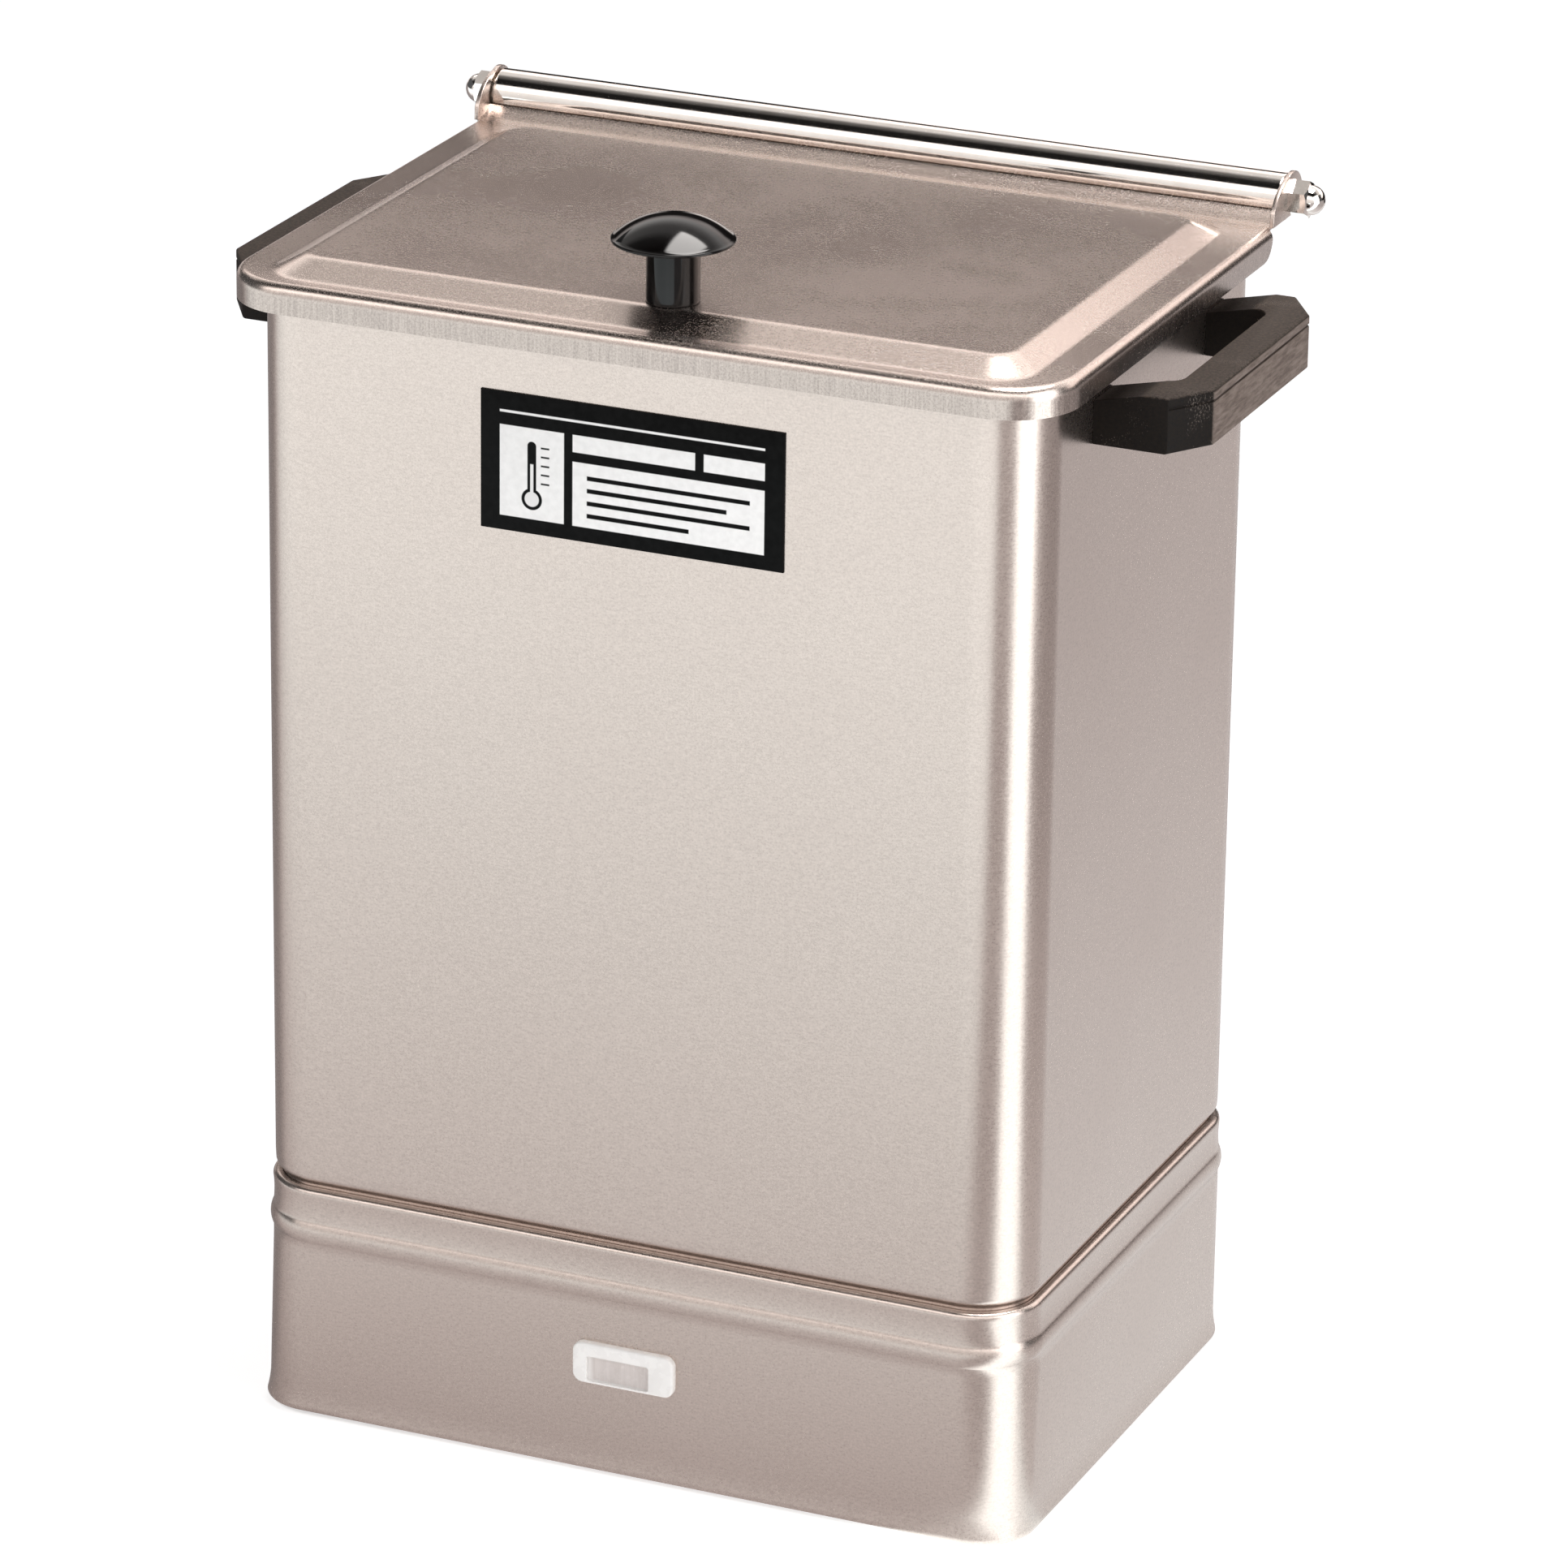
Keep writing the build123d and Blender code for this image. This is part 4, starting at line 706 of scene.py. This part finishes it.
def base_section():
    """Neck, ledge, band, bead, skirt and folded hem, then the inside."""
    proud, inside = 0.9, -0.1
    neck, top, edge, ledge = -2.2, 83.0, 0.3, 2.0
    bead, half, crest, hollow = 67.2, 3.8, 1.0, 0.3
    flare, hem, shelf = 11.0, 2.5, 11.9
    curve = (half**2 + crest**2) / (2 * crest)
    span = math.degrees(math.asin(half / curve))
    low, high = bead + half, top - ledge
    outer = [(neck, top - 6), (neck, top - edge)]
    outer += arc((neck + edge, top - edge), edge, 180, 90, 5)[1:]
    outer += arc((proud - ledge, high), ledge, 90, 0, 10)
    for step in range(1, 10):
        share = step / 10
        outer.append((proud - hollow * 4 * share * (1 - share), high + (low - high) * share))
    outer += arc((proud + crest - curve, bead), curve, span, -span, 16)
    outer += [(proud, 60.5), (proud, 58.0), (proud, 13.0), (proud, flare)]
    for step in range(1, 9):
        share = step / 8
        outer.append((proud + SHEET * share**2, flare - (flare - hem) * share))
    outer += arc((proud, hem), SHEET, 0, -180, 12)[1:]
    inner = [(inside, 8.0), (inside - shelf, 8.0), (inside - shelf, 9.0), (inside, 9.0)]
    inner += [(inside, bead - half)]
    inner += arc((inside + crest - curve, bead), curve, -span, span, 8)[1:-1]
    inner += [(inside, low), (inside - hollow, (low + high) / 2), (inside, high)]
    inner += arc((inside - 1, high), 1.0, 0, 90, 4)[1:]
    inner += [(neck + SHEET, top - SHEET), (neck + SHEET, top - 5.9)]
    return outer + inner


def base_outlines():
    """The base's section as outlines, once round; its front corners tighten towards the hem."""
    section = base_section()
    rows = []
    for out, up in section + section[:1]:
        tighter = CORNER_FALL * (1 - min(up / FALL_Z, 1))
        if rows and abs(up - rows[-1][-1]) < 0.02:
            up -= 0.03  # two outlines in one plane don't bridge
        half_y = HALF_Y + out
        rows.append((HALF_X + out, -half_y, half_y, CORNER + out - tighter, CORNER + out, up))
    return rows


jacket = wall_round("jacket_shell", HALF_X, HALF_Y, CORNER, jacket_section(), steps=20)
smooth(jacket, 40)
dress(jacket, "cabinet", "brushed", "jacket")

base = skin("base_skirt", base_outlines(), steps=20)
choose("FACE", lambda middle: middle.xy.length < 5)
bpy.ops.mesh.delete(type="ONLY_FACE")
tidy_up()
put_down()
smooth(base, 40)
dress(base, "cabinet", "brushed", "base_housing")


# Lid --------------------------------------------------------------------------------------------

LID_HALF, LID_FRONT, LID_REAR = 145.0, -109.2, 86.8
FLANGE_Z, PANEL_Z, SKIRT_Z = 400.0, 404.5, 390.0
LID_EDGE, LID_DROP, LID_CORNER, SKIRT_END = 3.0, 4.0, 24.0, 7.5
CROWN, FOOT = 0.22, 0.18  # shares of the slope that are rounded at its top and its foot
SLOPE_SHARES = (
    0, 0.03, 0.07, 0.11, 0.15, 0.19, 0.22, 0.26, 0.5, 0.78, 0.82, 0.86, 0.90, 0.94, 0.97, 1
)
SLOPE_TOP = (121.6, -88.6, 72.2, 7.2)  # half width, front, rear and corner radius
SLOPE_RUN = (10.8, -14.3, 12.2, 7.4)  # how far each of them goes out down the slope
SKIRT_ROWS = (395.4, 394.6, 393.6, 392.6, 391.6, 390.8, 390.3, SKIRT_Z)
REAR_LIP = (  # y, z and widening of each step of the lip that rises to the hinge
    (86.9, 399.935, 1.0135), (88.2, 400.0, 1), (89.4, 400.15, 1), (90.7, 400.4, 1),
    (92.0, 400.74, 1), (93.3, 401.17, 1), (94.5, 401.68, 1), (95.8, 402.33, 1),
    (96.9, 403.0, 1),
)


def slope_drop(share):
    """How far the lid's slope has dropped: rounded crown, straight run, rounded foot."""
    steep = 1 / (1 - CROWN / 2 - FOOT / 2)
    if share < CROWN:
        return steep * share**2 / (2 * CROWN)
    if share > 1 - FOOT:
        return 1 - steep * (1 - share) ** 2 / (2 * FOOT)
    return steep * (share - CROWN / 2)


def lid_outlines():
    """Outlines of the lid from its raised panel down to the foot of its skirt."""
    rows = [(120.8, -87.8, 71.4, 6.4, 6.4, PANEL_Z)]
    for share in SLOPE_SHARES:
        half, front, rear, corner = (
            start + run * share for start, run in zip(SLOPE_TOP, SLOPE_RUN)
        )
        z = PANEL_Z - (PANEL_Z - FLANGE_Z) * slope_drop(share)
        rows.append((half, front, rear, corner, corner, z))
    rows.append((133.0, -103.4, 84.8, 15.2, 12.0, FLANGE_Z - 0.03))
    inset = LID_EDGE + 0.6
    rows.append(
        (LID_HALF - inset, LID_FRONT + inset, LID_REAR - 0.4, LID_CORNER - inset, 1.0,
         FLANGE_Z - 0.06)
    )
    edge = []
    for step in range(17):
        angle = QUARTER * step / 16
        fall = (LID_DROP - 0.08) * (1 - math.cos(angle))
        edge.append((LID_EDGE * (1 - math.sin(angle)), FLANGE_Z - 0.08 - fall))
    edge += [(0, z) for z in SKIRT_ROWS]
    for inset, z in edge:
        rise = max(397.5 - z, 0)
        rear = LID_REAR - SKIRT_END + math.sqrt(max(SKIRT_END**2 - rise**2, 0))
        rows.append((LID_HALF - inset, LID_FRONT + inset, rear, LID_CORNER - inset, 0.3, z))
    return rows


lid = skin("lid_pressing", lid_outlines(), steps=16)
choose(
    "FACE",
    lambda middle: middle.y > 70 and middle.z < FLANGE_Z - 0.08 and abs(middle.x) < 100,
)
bpy.ops.mesh.delete(type="FACE")
choose("EDGE", lambda middle: abs(middle.y - LID_REAR) < 0.01 and abs(middle.x) < 100)
for y, z, flare in REAR_LIP:
    vertices = bmesh.from_edit_mesh(lid.data).verts
    spot = next(vertex.co.copy() / MM for vertex in vertices if vertex.select)
    pull(0, y - spot.y, z - spot.z)
    bpy.ops.transform.resize(value=(flare, 1, 1), center_override=(0, 0, 0))
tidy_up()
# The lid is open below, so the faces can come out looking down; its top has to look up.
top_face = max(bmesh.from_edit_mesh(lid.data).faces, key=lambda face: face.calc_center_median().z)
if top_face.normal.z < 0:
    bpy.ops.mesh.select_all(action="SELECT")
    bpy.ops.mesh.flip_normals()
put_down()
apply(lid, "SOLIDIFY", thickness=SHEET * MM, offset=-1.0, use_even_offset=True)
smooth(lid, 30)
dress(lid, "lid", "brushed", "lid", material=lid_steel)


# Hinge ------------------------------------------------------------------------------------------

HINGE = (0, 105.0, 405.5)
TUBE_END = [(8, 141.8), (8, 142.3), (7.93, 142.5), (7.7, 142.6), (6.7, 142.6), (6.5, 142.4)]
tube_section = [(out, -along) for out, along in reversed(TUBE_END)] + TUBE_END
tube_section.append(tube_section[0])
tube = lathe("hinge_tube_polished", tube_section, HINGE, (1, 0, 0), 96)
smooth(tube)
dress(tube, "cabinet", "polished", "hinge_tube")

for side in ("left", "right"):
    ear = from_node(side + "_ear_plate", side + "_ear", bevel=0.22, steps=3)
    smooth(ear)
    dress(ear, "lid", "brushed", side + "_ear")


# Knob -------------------------------------------------------------------------------------------

KNOB = (5.0, -82.0, PANEL_Z)
KNOB_RADIUS, KNOB_RIM, KNOB_TOP = 19.4, 20.9, 28.3
STEM, SCREW_HOLE, SCREW_DEPTH = 8.7, 2.55, 12


def knob_section():
    """Mushroom head, its hollow underside, a straight stem and the screw's blind hole."""
    points = dome(KNOB_RADIUS, KNOB_RIM, KNOB_TOP, 22)
    points += arc((KNOB_RADIUS, KNOB_RIM - 0.6), 0.6, 75, -75, 6)
    points += [(17.2, 19.25), (14.8, 18.72), (12.4, 18.3), (10.4, 17.98), (9.2, 17.8)]
    points += [(8.8, 17.5), (STEM, 17.0), (STEM, 1.0), (STEM, 0.25), (8.62, 0.07), (8.45, 0)]
    points += [(SCREW_HOLE, 0), (SCREW_HOLE, SCREW_DEPTH), (0, SCREW_DEPTH)]
    return points


knob = lathe("mushroom_knob", knob_section(), KNOB, (0, 0, 1), 96)
smooth(knob, 40)
dress(knob, "lid", "knob_black", "knob")


# Handles, front plate and pilot lens ------------------------------------------------------------

for side in ("left", "right"):
    grip = from_node(side + "_grip", side + "_handle", bevel=0.3, steps=3)
    smooth(grip)
    dress(grip, "cabinet", "handle_brown", side + "_handle")

plate = from_node("front_plate_blank", "front_plate", bevel=0.15, steps=2)
smooth(plate)
dress(plate, "cabinet", "plate_black", "front_plate")

lens = from_node("pilot_lens_cap", "pilot_lens", bevel=0.2, steps=3)
smooth(lens)
dress(lens, "cabinet", "lens_white", "pilot_lens")


# Nodes that keep their CAD meshes ---------------------------------------------------------------

def weld_and_smooth():
    """Geometry nodes that merge a node's loose triangles and smooth its shallow edges."""
    group = bpy.data.node_groups.new("weld_and_smooth", "GeometryNodeTree")
    group.interface.new_socket("Geometry", in_out="INPUT", socket_type="NodeSocketGeometry")
    group.interface.new_socket("Geometry", in_out="OUTPUT", socket_type="NodeSocketGeometry")
    nodes, links = group.nodes, group.links
    start = nodes.new("NodeGroupInput")
    end = nodes.new("NodeGroupOutput")
    merge = nodes.new("GeometryNodeMergeByDistance")
    merge.inputs["Distance"].default_value = NODE_WELD_GAP * MM
    soft = nodes.new("GeometryNodeSetShadeSmooth")
    crisp = nodes.new("GeometryNodeSetShadeSmooth")
    crisp.domain = "EDGE"
    crisp.inputs["Shade Smooth"].default_value = False
    bend = nodes.new("GeometryNodeInputMeshEdgeAngle")
    steep = nodes.new("FunctionNodeCompare")
    steep.operation = "GREATER_THAN"
    steep.inputs[1].default_value = math.radians(SMOOTH_ANGLE)
    links.new(start.outputs[0], merge.inputs["Geometry"])
    links.new(merge.outputs[0], soft.inputs["Geometry"])
    links.new(soft.outputs[0], crisp.inputs["Geometry"])
    links.new(bend.outputs["Unsigned Angle"], steep.inputs[0])
    links.new(steep.outputs[0], crisp.inputs["Selection"])
    links.new(crisp.outputs[0], end.inputs[0])
    return group


NODE_FINISH = {
    "tank_steel": ["inner_tank", "hinge_bracket"],
    "fibre": ["insulation_sleeve", "insulation_pad"],
    "plain_steel": [
        "bottom_plate", "hinge_rod", "knob_screw", "heating_element", "tie_studs", "tie_nuts",
        "foot_screws", "foot_nuts", "hinge_washers", "bracket_rivets", "handle_screws",
        "element_clamps", "clamp_studs", "clamp_nuts", "thermostat_screws",
    ],
    "polished": ["acorn_nuts"],
    "wire_steel": ["rack_floor", "rack_dividers", "rack_bails"],
    "lamp_glass": ["pilot_lamp"],
    "moulded_white": ["lamp_carrier", "terminal_block"],
    "moulded_black": ["thermostat_body"],
    "bead_white": ["element_terminals"],
    "brass_part": ["thermostat_bulb", "thermostat_stem", "tube_plugs", "block_screws"],
    "rubber_black": ["cord_bushing", "rubber_feet"],
    "lead_black": ["leads"],
}
smoothing = weld_and_smooth()
for slot, names in NODE_FINISH.items():
    for name in names:
        node = frame["nodes"][name]
        node.data.materials.clear()
        node.data.materials.append(finishes[slot])
        modifier = node.modifiers.new("weld_and_smooth", "NODES")
        modifier.node_group = smoothing


# Floor and lights -------------------------------------------------------------------------------

def floor_material():
    finish = Finish("pale_floor")
    cloud = finish.noise(3, detail=2)
    finish.feed("Base Color", finish.blend(cloud, (0.90, 0.90, 0.90), (0.93, 0.93, 0.93)))
    finish.feed("Roughness", finish.level(cloud, 0.6, 0.7))
    finish.set(Emission_Color=(1, 1, 1, 1), Emission_Strength=0.55)
    return finish.material


put_down()
bpy.ops.mesh.primitive_plane_add(size=14, location=(0, 0, -0.0002))
floor = bpy.context.object
floor.name = "floor"
floor.data.materials.append(floor_material())


def hang(name, light, place, target):
    """Put a light at a place and turn it to a target."""
    lamp = bpy.data.objects.new(name, light)
    lamp.location = place
    lamp.rotation_mode = "QUATERNION"
    lamp.rotation_quaternion = (Vector(target) - Vector(place)).to_track_quat("-Z", "Y")
    bpy.context.scene.collection.objects.link(lamp)
    return lamp


def softbox(name, place, target, width, height, glow):
    """A rectangular studio light that faces a target; glow is how bright its face looks."""
    light = bpy.data.lights.new(name, "AREA")
    light.shape = "RECTANGLE"
    light.size, light.size_y = width, height
    light.energy = glow * math.pi * width * height
    return hang(name, light, place, target)


def pool(name, place, target, cone, power):
    """A soft spot that brightens one patch of the floor."""
    light = bpy.data.lights.new(name, "SPOT")
    light.spot_size = math.radians(cone)
    light.spot_blend = 1.0
    light.shadow_soft_size = 0.15
    light.energy = power
    return hang(name, light, place, target)


world = bpy.data.worlds.new("studio")
world.use_nodes = True
world.node_tree.nodes["Background"].inputs["Color"].default_value = (0.94, 0.97, 1.0, 1)
world.node_tree.nodes["Background"].inputs["Strength"].default_value = 0.10
bpy.context.scene.world = world

# Polished steel mirrors the painted cards below in place of the first two lights.
rear_bank = softbox("rear_bank", (-0.3, 2.3, 2.50), (0, 0, 0.4), 3.6, 1.6, 2.2)
front_left = softbox("front_left", (-0.81, -1.53, 1.75), (0, 0, 0.4), 0.8, 0.75, 10.0)
for lamp in (rear_bank, front_left):
    lamp.visible_glossy = False
softbox("corner_bank", (1.26, -0.34, 0.66), (0.13, -0.09, 0.3), 0.9, 1.3, 3.0)
pool("front_pool", (-0.15, -1.25, 2.2), (-0.15, -1.05, 0), 38, 110)


# Cards that only reflections see ----------------------------------------------------------------

HEATER_HALF_X, HEATER_HALF_Y = 0.115, 0.079  # the jacket's flat walls, without its corners


class Glow(Finish):
    """A card's own light, painted in metres from the card's middle."""

    def distance(self, x, y, half_x, half_y):
        """How far a place on the floor is from a rectangle round the middle."""
        squares = []
        for value, half in ((x, half_x), (y, half_y)):
            past = self.less(self.sum(value, 0, "ABSOLUTE"), half)
            past = self.sum(past, 0, "MAXIMUM")
            squares.append(self.times(past, past))
        return self.reach(*squares)

    def bearing(self, x, y, start):
        """Bearing in degrees from a start: 0 towards the front, 90 towards +X."""
        across = self.less(x, start[0])
        ahead = self.times(self.less(y, start[1]), -1)
        return self.times(self.sum(across, ahead, "ARCTAN2"), 180 / math.pi)

    def soft(self, source, start, end):
        """0 to 1 with soft ends."""
        node = self.add("ShaderNodeMapRange", interpolation_type="SMOOTHSTEP")
        node.inputs["From Min"].default_value = start
        node.inputs["From Max"].default_value = end
        self.join(source, node.inputs["Value"])
        return node.outputs["Result"]

    def patch(self, *sides):
        """1 inside soft sides, each a source with where it starts and where it is full."""
        mask = self.soft(*sides[0])
        for side in sides[1:]:
            mask = self.times(mask, self.soft(*side))
        return mask

    def swap(self, factor, first, second):
        """From one value or source to another."""
        node = self.add("ShaderNodeMix", data_type="FLOAT")
        self.join(factor, node.inputs["Factor"])
        for value, socket in ((first, node.inputs[2]), (second, node.inputs[3])):
            if isinstance(value, (int, float)):
                socket.default_value = value
            else:
                self.join(value, socket)
        return node.outputs[0]

    def shine(self, strength, tint=None):
        """Give off light and mirror nothing."""
        self.feed("Emission Strength", strength)
        if tint:
            self.set(Emission_Color=(*tint, 1))
        self.set(Base_Color=(0, 0, 0, 1), Roughness=1.0, Specular_IOR_Level=0.0)
        self.material.cycles.emission_sampling = "NONE"
        return self.material


def floor_glow():
    """What steel sees of the floor: a bright pool in front, dark and bright wedges."""
    glow = Glow("floor_glow")
    x, y, _ = glow.split()
    away = glow.distance(x, y, HEATER_HALF_X, HEATER_HALF_Y)
    level = glow.sum(
        glow.level(away, 0.58, 0.84, 0.0, 0.16), glow.level(away, 0, 0.82, 0.16, 1.1)
    )
    level = glow.times(level, glow.level(x, 1.0, 1.12, -0.45, 0.0))
    spread = glow.sum(glow.times(glow.sum(y, 0.33), -0.56), 0, "MAXIMUM")
    edge = glow.less(x, glow.sum(spread, HEATER_HALF_X))
    level = glow.swap(glow.soft(edge, -0.03, 0.06), level, 0.58)
    right = glow.bearing(x, y, (0.015, -0.05))
    beside = glow.swap(
        glow.soft(y, -0.115, -0.045), 2.4, glow.level(away, 0.86, 0.46, 0.05, 0.8)
    )
    level = glow.swap(glow.soft(right, 53, 61), level, beside)
    side = glow.bearing(x, y, (0.141, -0.0745))
    level = glow.swap(glow.soft(side, 149, 159), level, glow.level(away, 1.02, 0.80, 0.0, 0.9))
    left = glow.bearing(glow.times(x, -1), y, (0.08, -0.10))
    level = glow.swap(glow.soft(left, 60, 90), level, glow.times(level, 0.82))
    level = glow.swap(glow.soft(left, 84, 106), level, 0.33)
    warm, cool = (1, 0.915, 0.91), (0.96, 1.03, 1.04)
    glow.feed("Emission Color", glow.blend(glow.mix(level, 0.62, 1.25), warm, cool))
    return glow.shine(level)


def overhead_glow():
    """A ceiling that fades from a bright rear to the front, with a bright box on the right."""
    glow = Glow("overhead_glow")
    x, y, _ = glow.split()
    level = glow.sum(
        glow.level(y, 0.013, 0.22, -1.0, -0.15), glow.level(y, 0, 0.60, -0.30, 0.15)
    )
    level = glow.sum(level, glow.level(y, 0, 1.2, 0.75, 1.7))
    box = glow.patch((x, -0.25, -0.10), (x, 0.95, 0.80), (y, -1.0, -0.85), (y, 0.45, 0.30))
    return glow.shine(glow.swap(box, level, 17.0), (1.0, 0.96, 0.93))


def rear_glow():
    """The wall behind: dim low down, a bright screen higher up, bright patches beside it."""
    glow = Glow("rear_glow")
    across, up, _ = glow.split()
    level = glow.sum(glow.level(up, 0.01, 0.03, -0.75, 0.15), glow.level(up, 0, 2.0, 0.40, 1.0))
    screen = glow.patch((up, 0.25, 0.85), (across, -0.75, -0.15))
    side = glow.patch((up, -0.30, 0.05), (across, 0.25, 0.65))
    left = glow.patch((up, -0.35, -0.60), (across, -1.25, -1.50))
    spot = glow.patch((up, -0.45, -0.62), (across, -1.15, -0.95), (across, -0.35, -0.5))
    for patch, strength in ((screen, 2.15), (side, 2.0), (left, 1.0), (spot, 1.6)):
        level = glow.swap(patch, level, strength)
    return glow.shine(level, (1.0, 0.90, 0.86))


def front_glow():
    """The wall in front: mid grey low down, a bright screen high up that fades at its top."""
    glow = Glow("front_glow")
    up = glow.split()[1]
    level = glow.sum(glow.level(up, 0.80, 1.10, -1.7, -0.45), glow.level(up, 0, 1.7, -0.30, 0.15))
    level = glow.times(level, glow.level(up, 1, 0.2, 1.0, 1.7))
    return glow.shine(level, (1.0, 0.97, 0.95))


def card(name, place, facing, width, height, material):
    """A card that only reflections see; a level one stays as it is made, facing up."""
    put_down()
    bpy.ops.mesh.primitive_plane_add(size=1, location=(0, 0, 0))
    piece = bpy.context.object
    piece.name = name
    bpy.ops.object.mode_set(mode="EDIT")
    bpy.ops.mesh.select_all(action="SELECT")
    bpy.ops.transform.resize(value=(width, height, 1), center_override=(0, 0, 0))
    put_down()
    if not facing[2]:
        piece.rotation_mode = "QUATERNION"
        piece.rotation_quaternion = Vector(facing).to_track_quat("Z", "Y")
    piece.location = place
    for ray in ("visible_camera", "visible_diffuse", "visible_shadow", "visible_transmission"):
        setattr(piece, ray, False)
    piece.data.materials.append(material)


card("floor_tone", (0, 0, 0.0004), (0, 0, 1), 12, 12, floor_glow())
card("rear_tone", (0, 2.7, 1.15), (0, -1, 0), 9, 2.3, rear_glow())
card("front_tone", (0, -2.7, 1.7), (0, 1, 0), 8, 3.6, front_glow())
card("overhead_tone", (0, 0.55, 2.3), (0, 0, 1), 6, 4.3, overhead_glow())


# Camera -----------------------------------------------------------------------------------------

CAMERA_PLACE = (1.01452, -2.34962, 1.19245)
YAW, PITCH, ROLL = math.radians(23.14), math.radians(20.97), math.radians(-0.78)

camera_data = bpy.data.cameras.new("camera")
camera_data.sensor_width = 36.0
camera_data.lens = 188.89
camera_data.clip_start, camera_data.clip_end = 0.05, 60
camera = bpy.data.objects.new("camera", camera_data)
bpy.context.scene.collection.objects.link(camera)
ahead = Vector(
    (-math.sin(YAW) * math.cos(PITCH), math.cos(YAW) * math.cos(PITCH), -math.sin(PITCH))
)
level_right = Vector((math.cos(YAW), math.sin(YAW), 0))
level_down = ahead.cross(level_right)
right = math.cos(ROLL) * level_right + math.sin(ROLL) * level_down
down = -math.sin(ROLL) * level_right + math.cos(ROLL) * level_down
turned = Matrix((right, -down, -ahead)).transposed().to_4x4()
turned.translation = CAMERA_PLACE
camera.matrix_world = turned
bpy.context.scene.camera = camera
bpy.context.scene.view_settings.view_transform = "Standard"
